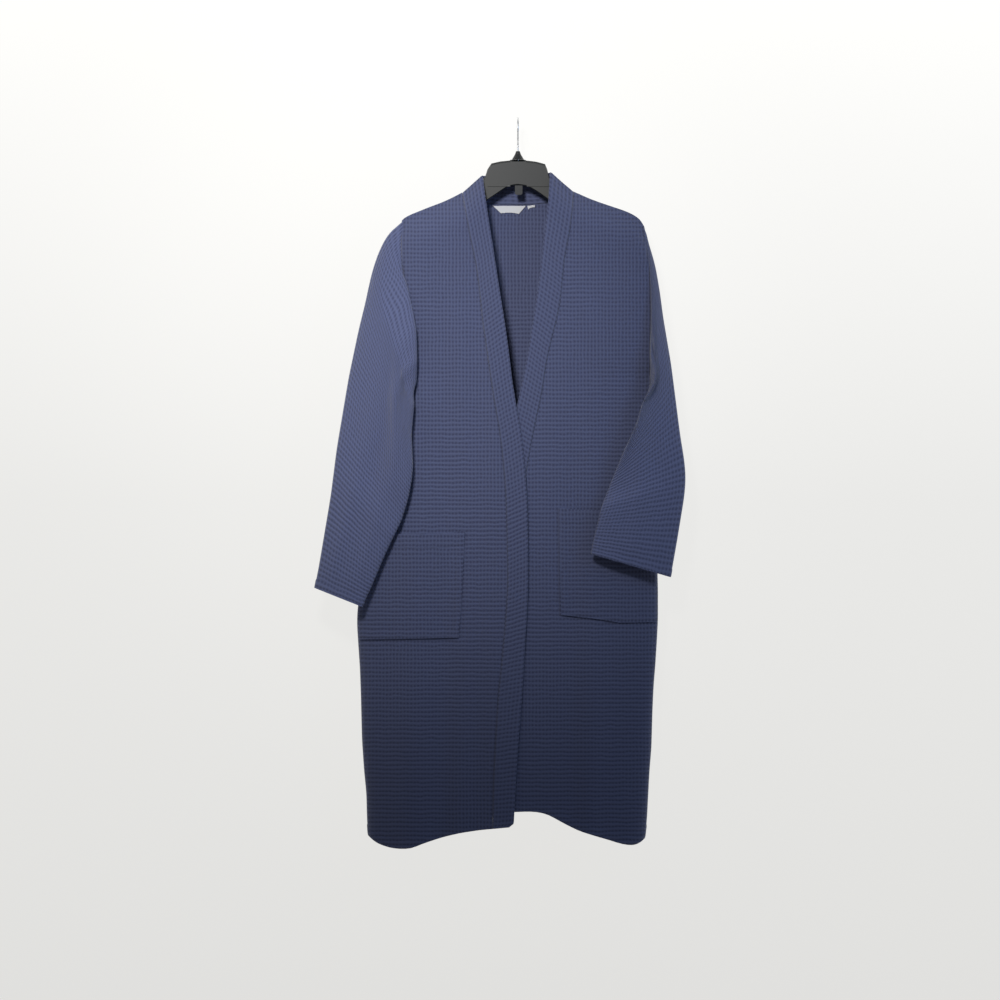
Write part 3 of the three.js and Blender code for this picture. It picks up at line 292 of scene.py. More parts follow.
M_PLASTIC = plain("hanger_black_plastic", (0.013, 0.015, 0.015), 0.42, scale=900.0, relief=0.00003)
# painted highlight: the plate's raised line is coloured lighter grey for the light its edge catches
M_RIDGE_PAINTED_HIGHLIGHT = plain("ridge_painted_highlight", (0.075, 0.078, 0.080), 0.35, scale=900.0, relief=0.00003)
M_TAB = plain("tab_plastic", (0.020, 0.022, 0.024), 0.30, scale=900.0, relief=0.00003)
M_STEEL = plain("hook_steel", (0.80, 0.81, 0.82), 0.38, 1.0, relief=0)


# ---- cloth meshes -------------------------------------------------------
def cloth(name, P, UV, T, mat, ring=False):
    """A closed sheet about a grid of middle points P (rows, cols, 3) in mm. T is its thickness at each point."""
    R, C = P.shape[:2]
    T = np.broadcast_to(T, (R, C))
    if ring:
        E = np.concatenate([P[:, -1:], P, P[:, :1]], 1)
        dv = np.gradient(P, axis=0)
        du = (E[:, 2:] - E[:, :-2]) / 2
    else:
        dv, du = np.gradient(P, axis=0), np.gradient(P, axis=1)
    N = np.cross(du, dv)
    N /= np.maximum(np.linalg.norm(N, axis=2, keepdims=True), 1e-9)
    A, B = P + N * T[..., None] / 2, P - N * T[..., None] / 2
    co = np.concatenate([A.reshape(-1, 3), B.reshape(-1, 3)]) * MM
    ids = np.arange(R * C).reshape(R, C)
    if ring:
        ids = np.concatenate([ids, ids[:, :1]], 1)
    a, b, c, d = ids[:-1, :-1], ids[:-1, 1:], ids[1:, 1:], ids[1:, :-1]
    q = np.stack([a, b, c, d], -1).reshape(-1, 4)
    n = R * C
    faces = [q, q[:, ::-1] + n]
    def rim(line):
        return np.stack([line[1:], line[:-1], line[:-1] + n, line[1:] + n], -1)
    faces.append(rim(ids[0])[:, ::1])
    faces.append(rim(ids[-1])[:, ::-1])
    rims = [ids[0], ids[-1]]
    if not ring:
        faces.append(rim(ids[:, 0])[:, ::-1])
        faces.append(rim(ids[:, -1])[:, ::1])
        rims += [ids[:, 0], ids[:, -1]]
    F = np.concatenate(faces)
    me = bpy.data.meshes.new(name)
    me.from_pydata(co.tolist(), [], F.tolist())
    # cloth coordinates, in cells
    uvw = UV
    if ring:
        wrap = uvw[:, :1].copy()
        wrap[..., 0] += RING_SPAN[0][:, None]
        uvg = np.concatenate([uvw, wrap], 1)
    else:
        uvg = uvw
    G = uvg.reshape(-1, 2)
    CC = uvg.shape[1]
    cell = np.arange(R * CC).reshape(R, CC)
    ga, gb, gc, gd = cell[:-1, :-1], cell[:-1, 1:], cell[1:, 1:], cell[1:, :-1]
    gq = np.stack([ga, gb, gc, gd], -1).reshape(-1, 4)
    def grim(line):
        return np.stack([line[1:], line[:-1], line[:-1], line[1:]], -1)
    gf = [gq, gq[:, ::-1], grim(cell[0]), grim(cell[-1])[:, ::-1]]
    if not ring:
        gf += [grim(cell[:, 0])[:, ::-1], grim(cell[:, -1])]
    GI = np.concatenate(gf).reshape(-1)
    layer = me.uv_layers.new(name="cloth")
    layer.data.foreach_set("uv", G[GI].astype(np.float32).reshape(-1))
    me.materials.append(mat)
    me.shade_smooth()
    me.validate()
    me.update()
    # rims stay crisp
    sharp = set()
    for line in rims:
        for s in (0, n):
            l = line + s
            sharp.update(tuple(sorted(e)) for e in zip(l[:-1].tolist(), l[1:].tolist()))
    at = me.attributes.get("sharp_edge") or me.attributes.new("sharp_edge", "BOOLEAN", "EDGE")
    ev = np.empty(len(me.edges) * 2, int)
    me.edges.foreach_get("vertices", ev)
    at.data.foreach_set("value", [tuple(sorted(e)) in sharp for e in ev.reshape(-1, 2).tolist()])
    o = bpy.data.objects.new(name, me)
    bpy.context.scene.collection.objects.link(o)
    if signed(me) < 0:
        me.flip_normals()
    return o


def signed(me):
    co = np.empty(len(me.vertices) * 3)
    me.vertices.foreach_get("co", co)
    co = co.reshape(-1, 3)
    me.calc_loop_triangles()
    t = np.empty(len(me.loop_triangles) * 3, int)
    me.loop_triangles.foreach_get("vertices", t)
    t = t.reshape(-1, 3)
    return float(np.einsum("ij,ij->i", co[t[:, 0]], np.cross(co[t[:, 1]], co[t[:, 2]])).sum())


RING_SPAN = [0.0]


def spread(a, b, step):
    n = max(2, int(round(abs(b - a) / step)) + 1)
    return np.linspace(a, b, n)


def rows_z(top, foot, step=9.0, near_top=(0, 1.5, 3.5, 6, 9, 13, 18, 24, 31, 39, 48, 58), hem=(0, 1.2, 3, 6, 10, 13, 14.6, 16.2, 18, 22, 28)):
    """Row heights from top to foot: dense where the cloth rolls over the shoulder and at the hem."""
    nt, nh = np.array(near_top, float), np.array(hem, float)
    k = int(round((np.mean(top) - np.mean(foot) - nt[-1] - nh[-1]) / step))
    f = np.linspace(0, 1, k + 1)[1:-1]
    rows = [top - d for d in nt]
    a, b = top - nt[-1], foot + nh[-1]
    rows += [a + (b - a) * t for t in f]
    rows += [foot + d for d in nh[::-1]]
    D = np.concatenate([np.full(len(nt) + len(f), 99.0), nh[::-1]])
    return np.stack(rows), D


def hem_profile(D, t0=1.8, t1=3.6, at=14.6):
    """Thickness over the distance D from a turned and stitched edge."""
    D = np.asarray(D, float)
    body = t0 + (t1 - t0) * sm01(at + 3.5, at - 1.5, D)
    groove = 1.5 * np.exp(-((D - at) / 1.5) ** 2)
    lip = 0.8 * np.exp(-(D / 1.2) ** 2)
    return body - groove - lip


def panel(left, right, top, foot, yfun, s, step=9.0, **kw):
    """Grid of a panel between two side lines: s are the column positions from 0 at left to 1 at right."""
    def place(zguess, f):
        z = np.full(len(s), zguess)
        for _ in range(30):
            x = left(z) + (right(z) - left(z)) * s
            z = 0.5 * z + 0.5 * f(x)
        return z
    zt, zb = place(-160.0, top), place(-1210.0, foot)
    Z, D = rows_z(zt, zb, step, **kw)
    X = left(Z) + (right(Z) - left(Z)) * s[None, :]
    return X, yfun(X, Z), Z, D


def cols(width, step, dense_left=(), dense_right=()):
    a = [d / width for d in dense_left]
    b = [1 - d / width for d in dense_right][::-1]
    lo, hi = (a[-1] if a else 0), (b[0] if b else 1)
    n = max(2, int(round((hi - lo) * width / step)))
    mid = np.linspace(lo, hi, n + 1)
    return np.array(a[:-1] + mid.tolist() + b[1:]) if (a or b) else mid


def uv_flat(X, Z):
    return np.stack([X / CELL_U, Z / CELL_V], -1)


ROUND = (0, 0.4, 1, 2, 3.5, 5.5, 8, 11, 15, 20)
TIGHT = (0, 0.8, 1.8, 3.2, 5, 8)


def band_xz(a, b, s):
    """Points across the band between edge line a and seam line b."""
    return a[:, None] + (b - a)[:, None] * s[None, :]


# ---- back ---------------------------------------------------------------
def back_top(x):
    r = ridge(x) - 2.0 * sm01(206, 214, x) - 1.0 * sm01(-190, -200, x)
    return np.where((x > -97) & (x < 92), np.minimum(r, neckseam(np.clip(x, -115, 110)) + 1.4), r)


def back_foot(x):
    """The back hem, kept above the front hem beside the opening."""
    return hem_b(x) + 9.0 * sm01(-45, -20, x) * sm01(92, 66, x)


s = cols(470, 9.0, ROUND, ROUND)
X, Y, Z, D = panel(side_rb, side_lb, back_top, back_foot, back_y, s, near_top=(0, 1.5, 3.5, 6, 9, 13, 18, 24, 31, 39, 48, 58))
o = cloth("back", np.stack([X, Y, Z], -1), uv_flat(X, Z), hem_profile(D)[:, None], M_CLOTH)
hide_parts("back_panel")
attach(o, "robe")

# ---- fronts -------------------------------------------------------------
def shoulder(x):
    """The ridge, let down a little where the sleeve takes over."""
    return ridge(x) - 2.0 * sm01(206, 214, x) - 1.0 * sm01(-190, -200, x)


def front(name, left, right, foot, yf, dense_l, dense_r, nodes, body, fold, flat, area):
    s = cols(170, 7.5, dense_l, dense_r)
    X, Y, Z, D = panel(left, right, shoulder, foot, yf, s)
    P = np.stack([X, Y, Z], -1)
    T = np.broadcast_to(hem_profile(D)[:, None], X.shape).copy()
    o = cloth(name, P, uv_flat(X, Z), T, M_CLOTH)
    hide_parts(*nodes)
    blend_fold(o)
    return o


def blend_fold(o):
    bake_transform(o)


front("right_front", side_rf, lambda z: seam_r(z) - 0.3, hem_r, over_y, ROUND, TIGHT, ("right_front_side", "right_front_flap"), "right_front", FOLD_R, (0.30, 1.13), 0.25)
front("left_front", lambda z: seam_l(z) + 0.3, side_lf, hem_l, front_y, TIGHT, ROUND, ("left_front_side", "left_front_flap"), "left_front", FOLD_L, (0.30, 1.11), 0.25)

# ---- bands --------------------------------------------------------------
BAND_S = np.array([0, 0.012, 0.035, 0.07, 0.12, 0.2, 0.3, 0.42, 0.55, 0.68, 0.8, 0.88, 0.93, 0.965, 0.988, 1.0])


def band_thickness(s):
    """Doubled cloth, rounded at the free edge (0) and turned under at the seam (1)."""
    t = 4.2 * np.clip(1 - (1 - np.clip(s / 0.07, 0, 1)) ** 2, 0.06, 1) ** 0.5
    return t - 2.6 * sm01(0.955, 1.0, s)


def band_front(name, edge, seam, foot, yf, z0, nodes, side):
    zb_e, zb_s = foot(edge(-1200.0)), foot(seam(-1200.0))
    rows_e, rows_s, D = [], [], []
    n = 128
    tail = np.array([28, 22, 18, 16.2, 14.6, 13, 10, 6, 3, 1.2, 0])
    e0, s0 = z0
    ze = np.concatenate([np.linspace(e0, zb_e + 28, n)[:-1], zb_e + tail])
    zs = np.concatenate([np.linspace(s0, zb_s + 28, n)[:-1], zb_s + tail])
    D = np.concatenate([np.full(n - 1, 99.0), tail])
    xe, xs = edge(ze), seam(zs)
    # the free corner is slightly rounded
    xe = xe + side * 7.0 * sm01(9, 0, D) ** 2
    X, Z = band_xz(xe, xs, BAND_S), band_xz(ze, zs, BAND_S)
    lift = 1.0 + 0.0 * X
    Y = yf(X, Z) - 0.9 * sm01(1.0, 0.9, BAND_S)[None, :] - 0.5
    T = np.minimum(band_thickness(BAND_S)[None, :], (hem_profile(D, 4.2, 5.0) + 0.0)[:, None])
    along_v = np.cumsum(np.concatenate([[0], np.hypot(np.diff((xe + xs) / 2), np.diff((ze + zs) / 2))]))
    UV = np.stack([np.broadcast_to(BAND_S * 37 / CELL_U, X.shape), np.broadcast_to(along_v[:, None] / CELL_V, X.shape)], -1)
    o = cloth(name, np.stack([X, Y, Z], -1), UV, T, M_BAND)
    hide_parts(*nodes)
    blend_fold(o)
    return o


band_front("right_band", edge_r, seam_r, hem_r, over_y, (-97.0, -128.0), ("right_band_flap",), -1)
band_front("left_band", edge_l, seam_l, hem_l, front_y, (-91.5, -126.5), ("left_band_flap",), 1)

# round the back of the neck, in two halves with a join at the centre back
JOIN = -16.0


def band_neck(name, sgn, nodes):
    e0, s0 = ((-59.6, -97.0), (-95.0, -128.0)) if sgn < 0 else ((54.8, -91.5), (94.0, -126.5))
    t = np.linspace(0, 1, 26) ** 0.85
    xe = JOIN + (e0[0] - JOIN) * t
    xs = JOIN + (s0[0] - JOIN) * t
    w = sm01(0.8, 1.0, t)
    ze = neckline(xe) * (1 - w) + e0[1] * w
    zs = neckseam(xs) * (1 - w) + s0[1] * w
    X, Z = band_xz(xe, xs, BAND_S), band_xz(ze, zs, BAND_S)
    Y = back_y(X, Z) + 0.5
    Y = Y - 0.9 * sm01(1.0, 0.9, BAND_S)[None, :]
    # meets the front part over the shoulder
    T = band_thickness(BAND_S)[None, :] * (1 - 0.35 * np.exp(-((t - 0.0) / 0.03) ** 2))[:, None]
    UV = np.stack([np.broadcast_to(BAND_S * 37 / CELL_U, X.shape), np.broadcast_to(-t[:, None] * 75 / CELL_V, X.shape)], -1)
    o = cloth(name, np.stack([X, Y, Z], -1), UV, T, M_BAND)
    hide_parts(*nodes)
    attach(o, "robe")
    return o


band_neck("right_neck_band", -1, ("right_band_neck",))
band_neck("left_neck_band", 1, ("left_band_neck",))

# ---- pockets ------------------------------------------------------------
def pocket(name, left, right, top, foot, node, inner):
    """Patch pocket: turned edges, a deep stitched hem at the mouth; its outer side runs into the side seam."""
    w, h = 178.0, 178.0
    e = np.array([0, 0.8, 2, 3.4, 5, 8, 11.5, 13, 14.5, 17])          # distances from a turned edge
    m = np.array([0, 0.8, 2, 4, 8, 14, 20, 22.5, 24, 25.5, 28])       # distances from the mouth
    s = np.concatenate([e / w, np.linspace(17 / w, 1 - 17 / w, 20)[1:-1], 1 - e[::-1] / w])
    t = np.concatenate([m / h, np.linspace(28 / h, 1 - 17 / h, 18)[1:-1], 1 - e[::-1] / h])
    S, Tt = np.meshgrid(s, t)
    zt, zb = top(S), foot(S)
    Z = zt + (zb - zt) * Tt
    X = left(Z) + (right(Z) - left(Z)) * S
    gape = 5.0 * np.sin(math.pi * np.clip(S, 0, 1)) ** 0.8 * (1 - Tt) ** 1.6 + 0.9 * np.sin(math.pi * S) ** 0.3 * np.sin(math.pi * Tt) ** 0.3
    ripple = 0.5 * np.sin(S * 17 + Tt * 3) * np.sin(math.pi * S) * (1 - Tt)
    Y = front_y(X, Z) - 2.6 - gape - ripple
    edge_d = np.minimum(np.where(inner == 1, S, 1 - S) * w, (1 - Tt) * h) if True else 0
    T = 2.2 + 1.2 * sm01(16, 12, edge_d) - 1.5 * np.exp(-((edge_d - 13) / 1.3) ** 2) - 1.1 * np.exp(-((edge_d - 2.2) / 1.0) ** 2)
    md = Tt * h
    T = T + 1.2 * sm01(27, 23, md) - 1.5 * np.exp(-((md - 24) / 1.3) ** 2)
    T = np.clip(T, 0.9, 4.5)
    o = cloth(name, np.stack([X, Y, Z], -1), np.stack([X / CELL_U + 0.37, Z / CELL_V + 0.2], -1), T, M_CLOTH)
    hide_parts(node)
    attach(o, "robe")
    return o


def tab(table):
    a = np.array(table, float)
    i = np.argsort(a[:, 0])
    return lambda x: np.interp(x, a[i, 0], a[i, 1])


pocket("right_pocket_cloth", lambda z: side_rf(z) + 3.0, tab([[-886, -101.5], [-834, -97], [-750, -93], [-700, -91], [-640, -90]]),
       tab([[0, -712], [0.25, -708], [0.5, -709], [0.8, -707.5], [1, -702]]), tab([[0, -887], [1, -884]]), "right_pocket", 0)
pocket("left_pocket_cloth", tab([[-860, 74], [-800, 72.5], [-700, 71], [-660, 71]]), lambda z: side_lf(z) - 3.0,
       tab([[0, -663.6], [0.2, -667], [1, -668]]), tab([[0, -845.5], [0.4, -852.3], [0.6, -858], [1, -857.5]]), "left_pocket", 1)

PR = (lambda z: side_rf(z) + 3.0, tab([[-886, -101.5], [-834, -97], [-750, -93], [-700, -91], [-640, -90]]), -712, -886)
PL = (tab([[-860, 74], [-800, 72.5], [-700, 71], [-660, 71]]), lambda z: side_lf(z) - 3.0, -666, -856)

# ---- sleeves ------------------------------------------------------------
def in_front_of(x, z):
    l, r = side_rf(z), side_lf(z)
    y = front_y(x, z) - 1.0
    for left, right, zt, zb in (PR, PL):
        s = (x - left(z)) / (right(z) - left(z))
        t = np.clip((z - zt) / (zb - zt), 0, 1)
        inside = (z < zt + 20) & (z > zb - 10) & (s > -0.1) & (s < 1.1)
        g = 2.6 + 2.2 + 5.0 * np.sin(math.pi * np.clip(s, 0, 1)) ** 0.8 * (1 - t) ** 1.6
        y = np.where(inside, np.minimum(y, front_y(x, z) - g - 1.5), y)
    y = y - 2.5
    return np.where((z > ARM_FOOT + 2) | (x < l - 3) | (x > r + 3), 0.0, y)


FOLD_TABLE = np.array([(-203, -200), (-196, -250), (-187, -293), (-179, -330), (-173.5, -361), (-171.7, -412), (-173.0, -446), (-175.0, -480)], float)


def FOLD_SLEEVE(z):
    return np.interp(-z, -FOLD_TABLE[:, 1], FOLD_TABLE[:, 0])


def sleeve(name, OUT, IN, side, half, y_out, y_in, node):
    pout, pin = path(OUT, sigma=7), path(IN, sigma=4)
    tf = side_rf if side < 0 else side_lf
    tb = side_rb if side < 0 else side_lb
    length = 600.0
    v = np.concatenate([[0, 0.004, 0.01, 0.018, 0.027], np.linspace(0.036, 1 - 30 / length, 84), 1 - np.array([24, 19, 16.5, 15, 13.5, 11, 7, 3.5, 1.4, 0]) / length])
    ring = 96
    a = 2 * math.pi * np.arange(ring) / ring + math.pi     # the front wall first, from the inner line outwards
    s = 0.5 - 0.5 * np.cos(a)
    w = np.abs(np.sin(a)) ** 0.85 * np.sign(np.sin(a))
    O, I = np.stack(pout(v), -1), np.stack(pin(v), -1)
    h = np.interp(v, *np.array(half).T)
    yo = np.interp(v, *np.array(y_out).T)
    yi = np.interp(v, *np.array(y_in).T)
    k = np.linspace(0.25, 1, 24)
    need_yi = []
    for i in range(len(v)):
        x, z = O[i, 0] + (I[i, 0] - O[i, 0]) * k, O[i, 1] + (I[i, 1] - O[i, 1]) * k
        ww = np.sqrt(4 * k * (1 - k)) ** 0.85
        need = in_front_of(x, z)
        c = np.where(need < 0, (need - h[i] * ww - 1.0 - yo[i] * (1 - k)) / k, 0.0)
        need_yi.append(min(yi[i], c.min()) if v[i] >= 0.03 else yi[i])
    yi = np.array(need_yi)
    first = np.argmax(v >= 0.036)
    yi[first] = min(yi[first], -24)
    lowest = yi.copy()
    for _ in range(10):
        sm = yi.copy()
        sm[first + 1:-1] = (yi[first:-2] + yi[first + 1:-1] + yi[first + 2:]) / 3
        yi = np.minimum(sm, lowest)
    X = O[:, 0:1] + (I[:, 0:1] - O[:, 0:1]) * s
    Z = O[:, 1:2] + (I[:, 1:2] - O[:, 1:2]) * s
    Y = yo[:, None] + (yi - yo)[:, None] * s + h[:, None] * w[None, :]
    zc = np.maximum(Z, ARM_FOOT + 6)
    T = np.where(w[None, :] < 0, tf(zc), tb(zc))
    lim = T + side * (1.0 + 1.8 * 18 * (v[:, None] - 0.03).clip(0) ** 0.87)
    clampx = np.minimum(X, lim) if side < 0 else np.maximum(X, lim)
    keep = sm01(ARM_FOOT - 60, ARM_FOOT - 1, Z)
    X = X * (1 - keep) + clampx * keep
    X[first] = np.minimum(X[first], lim[first]) if side < 0 else np.maximum(X[first], lim[first])
    # the armhole, and the first rows that leave it
    drop = 1.0 if side < 0 else 7.0
    zz = ARM_TOP - drop + (ARM_FOOT - ARM_TOP + drop + 1) * s
    tuck = sm01(-255, -205, zz)       # near the shoulder the sleeve's edge lies under the panels' edges
    x0 = np.where(w < 0, tf(zz), tb(zz)) + side * (0.8 - 2.6 * tuck)
    y0 = np.sign(w) * np.where(np.abs(w) < 0.01, 0, edge_depth(zz) + SEAM - 1.9 * tuck)
    for i in range(first):
        u = v[i] / 0.036
        X[i] = x0 + (X[first] - x0) * u
        Y[i] = y0 + (Y[first] - y0) * u
        Z[i] = zz + (Z[first] - zz) * u
    # the front wall laps over the armhole seam: its fold runs down the body's front
    V, S = np.broadcast_to(v[:, None], X.shape), np.broadcast_to(s[None, :], X.shape)
    fold = FOLD_SLEEVE(Z) if side < 0 else tf(np.clip(Z, ARM_FOOT + 30, 0)) + 1.5
    b = sm01(0.0, 0.022, V) * sm01(0.17, 0.06, V)
    part = np.where(w < 0, 1.0, np.clip(1 - w / 0.3, 0, 1))[None, :] * sm01(0.08, 0.42, S) * sm01(-200, -285, Z)
    move = (fold - X) * b * part
    X = X + (np.maximum(move, 0) if side < 0 else np.minimum(move, 0))
    before = front_y(X, Z) - 3.2
    inside = (X > tf(Z) - 2) if side < 0 else (X < tf(Z) + 2)
    over = sm01(0.0, 0.012, V) * part
    Y = np.where(inside & (before < Y) & (V > 0.001), Y + (before - Y) * over, Y)
    # creases: soft ones that fan out from under the arm, and a few across the elbow
    centre = (O + I) / 2
    wid = np.linalg.norm(O - I, axis=1)
    fr = np.where(w < 0, 1.0, 0.55)[None, :] * np.abs(w)[None, :] ** 0.5
    c = 0
    for amp, v0, s0, dv, ds, wv, lv, ls in CREASES[side]:
        # a ridge through (v0, s0) running along (dv, ds), of width wv and length lv
        n = math.hypot(dv, ds)
        p = ((V - v0) * dv + (S - s0) * ds) / n
        q = ((V - v0) * -ds + (S - s0) * dv) / n
        c = c + amp * np.exp(-(q / wv) ** 2) * np.exp(-(p / lv) ** 2)
    c = c + 0.5 * np.sin(V * 21 + S * 5) * np.sin(S * 7 + 1)
    Y = Y + np.where(w[None, :] < 0, -1, 1) * c * fr * sm01(0.0, 0.06, V) * sm01(1.0, 0.93, V)
    D = (1 - v) * length
    T = np.broadcast_to(hem_profile(D, 1.8, 3.4, 15.0)[:, None], X.shape)
    gir = 2 * wid
    RING_SPAN[0] = 2 * wid / CELL_U
    arc = np.cumsum(np.concatenate([[0], np.linalg.norm(np.diff(centre, axis=0), axis=1)]))
    around = np.where(np.arange(ring) < ring // 2, -s, s)      # from the outer line
    UV = np.stack([around[None, :] * wid[:, None] / CELL_U, np.broadcast_to(arc[:, None] / CELL_V, X.shape)], -1)
    o = cloth(name, np.stack([X, Y, Z], -1), UV, T, M_SLEEVE_PAINTED_BRIGHT, ring=True)
    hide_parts(*[node + k for k in ("_upper_front", "_upper_back", "_lower_front", "_lower_back")])
    return o


CREASES = {
    -1: [(3.5, 0.13, 0.80, 0.6, -0.6, 0.045, 0.22), (-2.5, 0.20, 0.85, 0.7, -0.5, 0.05, 0.2), (3.0, 0.36, 0.7, 0.5, 0.25, 0.06, 0.25),
         (-2.0, 0.48, 0.55, 1, -0.2, 0.08, 0.2), (2.4, 0.62, 0.72, 1, 0.1, 0.09, 0.25), (2.0, 0.75, 0.3, 1, -0.2, 0.10, 0.3)],
    1: [(4.0, 0.12, 0.75, 0.7, -0.4, 0.05, 0.2), (-3.0, 0.18, 0.6, 0.8, -0.3, 0.06, 0.2), (3.0, 0.34, 0.75, 1, -0.35, 0.08, 0.3),
        (2.5, 0.55, 0.6, 1, -0.5, 0.09, 0.3), (-1.8, 0.62, 0.35, 1, -0.4, 0.08, 0.25), (2.0, 0.8, 0.55, 1, -0.2, 0.1, 0.25)],
}
CREASES = {k: [(a, b, c, d, e, f, g, 0) for a, b, c, d, e, f, g in r] for k, r in CREASES.items()}

sr = sleeve("right_sleeve_cloth", SLV_R_OUT, SLV_R_IN, -1, [[0, 14], [0.1, 17], [0.3, 18], [0.6, 15], [1, 12]],
            [[0, 0], [0.15, -2], [0.5, -14], [1, -30]], [[0, -2], [0.05, -20], [0.12, -34], [0.5, -42], [1, -48]], "right_sleeve")
sl = sleeve("left_sleeve_cloth", SLV_L_OUT, SLV_L_IN, 1, [[0, 14], [0.1, 17], [0.3, 17], [0.6, 14], [1, 12]],
            [[0, 0], [0.15, -2], [0.5, -18], [1, -38]], [[0, -2], [0.05, -16], [0.12, -28], [0.5, -44], [1, -54]], "left_sleeve")
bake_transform(sr)
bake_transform(sl)

# ---- labels -------------------------------------------------------------
def flat_label(name, pts, node, rows=5, bend=0.6):
    a, b, c, d = [np.array(p, float) for p in pts]
    u, v = np.meshgrid(np.linspace(0, 1, 15), np.linspace(0, 1, rows + 4))
    X = (a[0] * (1 - u) + b[0] * u) * (1 - v) + (d[0] * (1 - u) + c[0] * u) * v
    Z = (a[1] * (1 - u) + b[1] * u) * (1 - v) + (d[1] * (1 - u) + c[1] * u) * v
    Z = Z + (1.6 * np.sin(math.pi * u) * v if bend else 0)
    Y = back_y(X, Z) - 1.9 - bend * v
    o = cloth(name, np.stack([X, Y, Z], -1), np.stack([X, Z], -1), np.full(X.shape, 0.5), M_LABEL)
    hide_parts(node)
    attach(o, "robe")
    return o


flat_label("neck_label_cloth", [(-42.5, -146.8), (13.6, -146.8), (1.7, -160.4), (-28.9, -159.6)], "neck_label")
flat_label("size_tab_cloth", [(16.0, -146.6), (29.0, -145.4), (28.9, -149.5), (17.7, -152.8)], "size_tab", bend=0.2)
u, v = np.meshgrid(np.linspace(0, 1, 8), np.linspace(0, 1, 12))
P = np.stack([203 + 25 * u, 3 - 1.5 * u + 0.6 * np.sin(v * 5) * (1 - u), -940 - 50 * v], -1)
o = cloth("care_label_cloth", P, np.stack([u, v], -1), np.full(u.shape, 0.5), M_LABEL)
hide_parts("care_label")
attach(o, "robe")

# ---- hanger -------------------------------------------------------------
for n, m in (("hanger_body", M_PLASTIC), ("hook_collar", M_PLASTIC), ("retaining_tab", M_TAB), ("hook", M_STEEL)):
    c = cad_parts[n]
    c.data.materials.clear()
    c.data.materials.append(m)
    if n != "hook":
        b = c.modifiers.new("edge", "BEVEL")
        b.width, b.segments, b.limit_method, b.angle_limit = 0.0007, 2, "ANGLE", math.radians(35)

# the raised line across the plate, either side of the arch; its lighter grey than the black plastic is a painted
# highlight
vs, fs = [], []
for x0, x1 in ((-51.5, -13.0), (15.0, 50.5)):
    k = len(vs)
    vs += [(x * MM, y * MM, z * MM) for x in (x0, x1) for y in (-4.9, -3.6) for z in (-115.2, -113.7)]
    fs += [[k + i for i in f] for f in ((0, 1, 3, 2), (4, 6, 7, 5), (0, 4, 5, 1), (2, 3, 7, 6), (0, 2, 6, 4), (1, 5, 7, 3))]
me = bpy.data.meshes.new("plate_ridge")
me.from_pydata(vs, [], fs)
me.materials.append(M_RIDGE_PAINTED_HIGHLIGHT)
o = bpy.data.objects.new("plate_ridge", me)
bpy.context.scene.collection.objects.link(o)
if signed(me) < 0:
    me.flip_normals()
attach(o, "hanger")

# ---- stage, light, camera ----------------------------------------------
WALL_Y = 0.050
me = bpy.data.meshes.new("wall")
me.from_pydata([(-6, WALL_Y, -5), (6, WALL_Y, -5), (6, WALL_Y, 5), (-6, WALL_Y, 5)], [], [(0, 1, 2, 3)])
wall = bpy.data.objects.new("wall", me)
bpy.context.scene.collection.objects.link(wall)
# painted light: a near-black wall made bright by its own emission
mw, tw, pw = nodes_of("wall_painted_glow")
pw.inputs["Base Color"].default_value = (0.05, 0.05, 0.05, 1)
pw.inputs["Roughness"].default_value = 0.95
pw.inputs["Emission Color"].default_value = (1.0, 0.995, 0.972, 1)
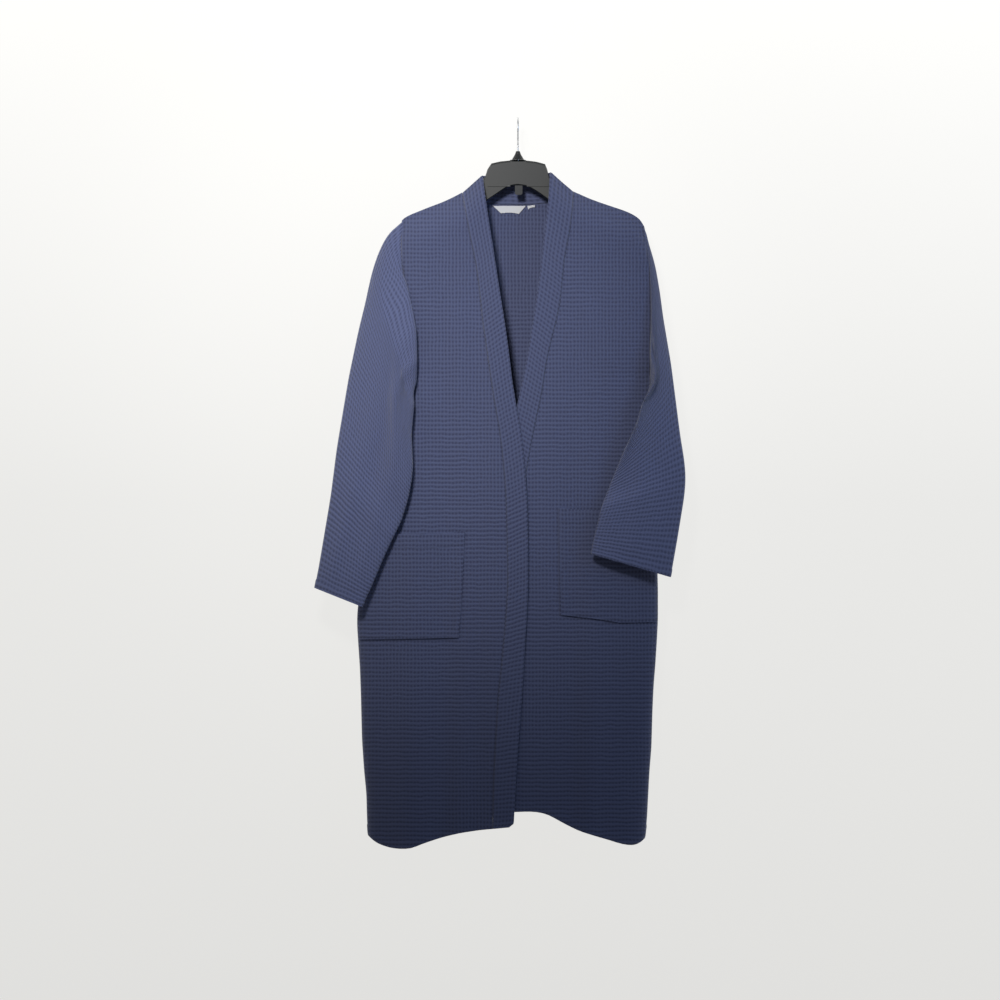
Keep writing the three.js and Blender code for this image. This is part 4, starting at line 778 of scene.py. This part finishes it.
# painted light: the wall's glow fades downwards in place of lamp light falling off down the wall
tc = tw.nodes.new("ShaderNodeTexCoord")
sx = tw.nodes.new("ShaderNodeSeparateXYZ")
tw.links.new(tc.outputs["Object"], sx.inputs[0])
mr = tw.nodes.new("ShaderNodeValToRGB")
for el, (pos, val) in zip((mr.color_ramp.elements[0], mr.color_ramp.elements[1], mr.color_ramp.elements.new(0.5)), ((0.0, 0.735), (1.0, 0.815), (0.5, 0.805))):
    el.position, el.color = pos, (val, val, val, 1)
up = math_node(tw, "MULTIPLY_ADD", sx.outputs[2], 0.588, 0.882, clamp=True)
tw.links.new(up, mr.inputs[0])
tw.links.new(mr.outputs[0], pw.inputs["Emission Strength"])
me.materials.append(mw)

scene = bpy.context.scene
world = scene.world or bpy.data.worlds.new("world")
scene.world = world
world.use_nodes = True
bg = world.node_tree.nodes["Background"]
bg.inputs[0].default_value = (0.93, 0.96, 1.0, 1)
bg.inputs[1].default_value = 0.19


def area(name, loc, aim, size, power, color):
    l = bpy.data.lights.new(name, "AREA")
    l.shape, l.size, l.size_y, l.energy, l.color = "RECTANGLE", size[0], size[1], power, color
    o = bpy.data.objects.new(name, l)
    o.location = loc
    o.rotation_mode = "QUATERNION"
    o.rotation_quaternion = (Vector(aim) - Vector(loc)).to_track_quat("-Z", "Y")
    scene.collection.objects.link(o)
    return o


from mathutils import Vector
def spot(name, loc, aim, half, power, color, radius):
    l = bpy.data.lights.new(name, "SPOT")
    l.energy, l.color, l.spot_size, l.spot_blend, l.shadow_soft_size = power, color, math.radians(2 * half), 1.0, radius
    o = bpy.data.objects.new(name, l)
    o.location = loc
    o.rotation_mode = "QUATERNION"
    o.rotation_quaternion = (Vector(aim) - Vector(loc)).to_track_quat("-Z", "Y")
    scene.collection.objects.link(o)
    return o


# the lamp's beam falls on the upper part of the robe and fades towards the hem
spot("key", (-0.45, -2.1, 0.70), (-0.21, 0, -0.31), 16.8, 226, (1.0, 0.985, 0.97), 0.22)
area("side", (1.6, -1.3, 0.1), (0.1, 0, -0.7), (0.8, 1.2), 6.5, (0.30, 0.58, 1.0))

cam = bpy.data.cameras.new("camera")
cam.lens, cam.sensor_width = 189.9, 36.0
co = bpy.data.objects.new("camera", cam)
co.location = (-0.0306, -9.0, -0.650)
co.rotation_euler = (math.radians(90), 0, 0)
scene.collection.objects.link(co)
scene.camera = co
scene.view_settings.view_transform = "Standard"
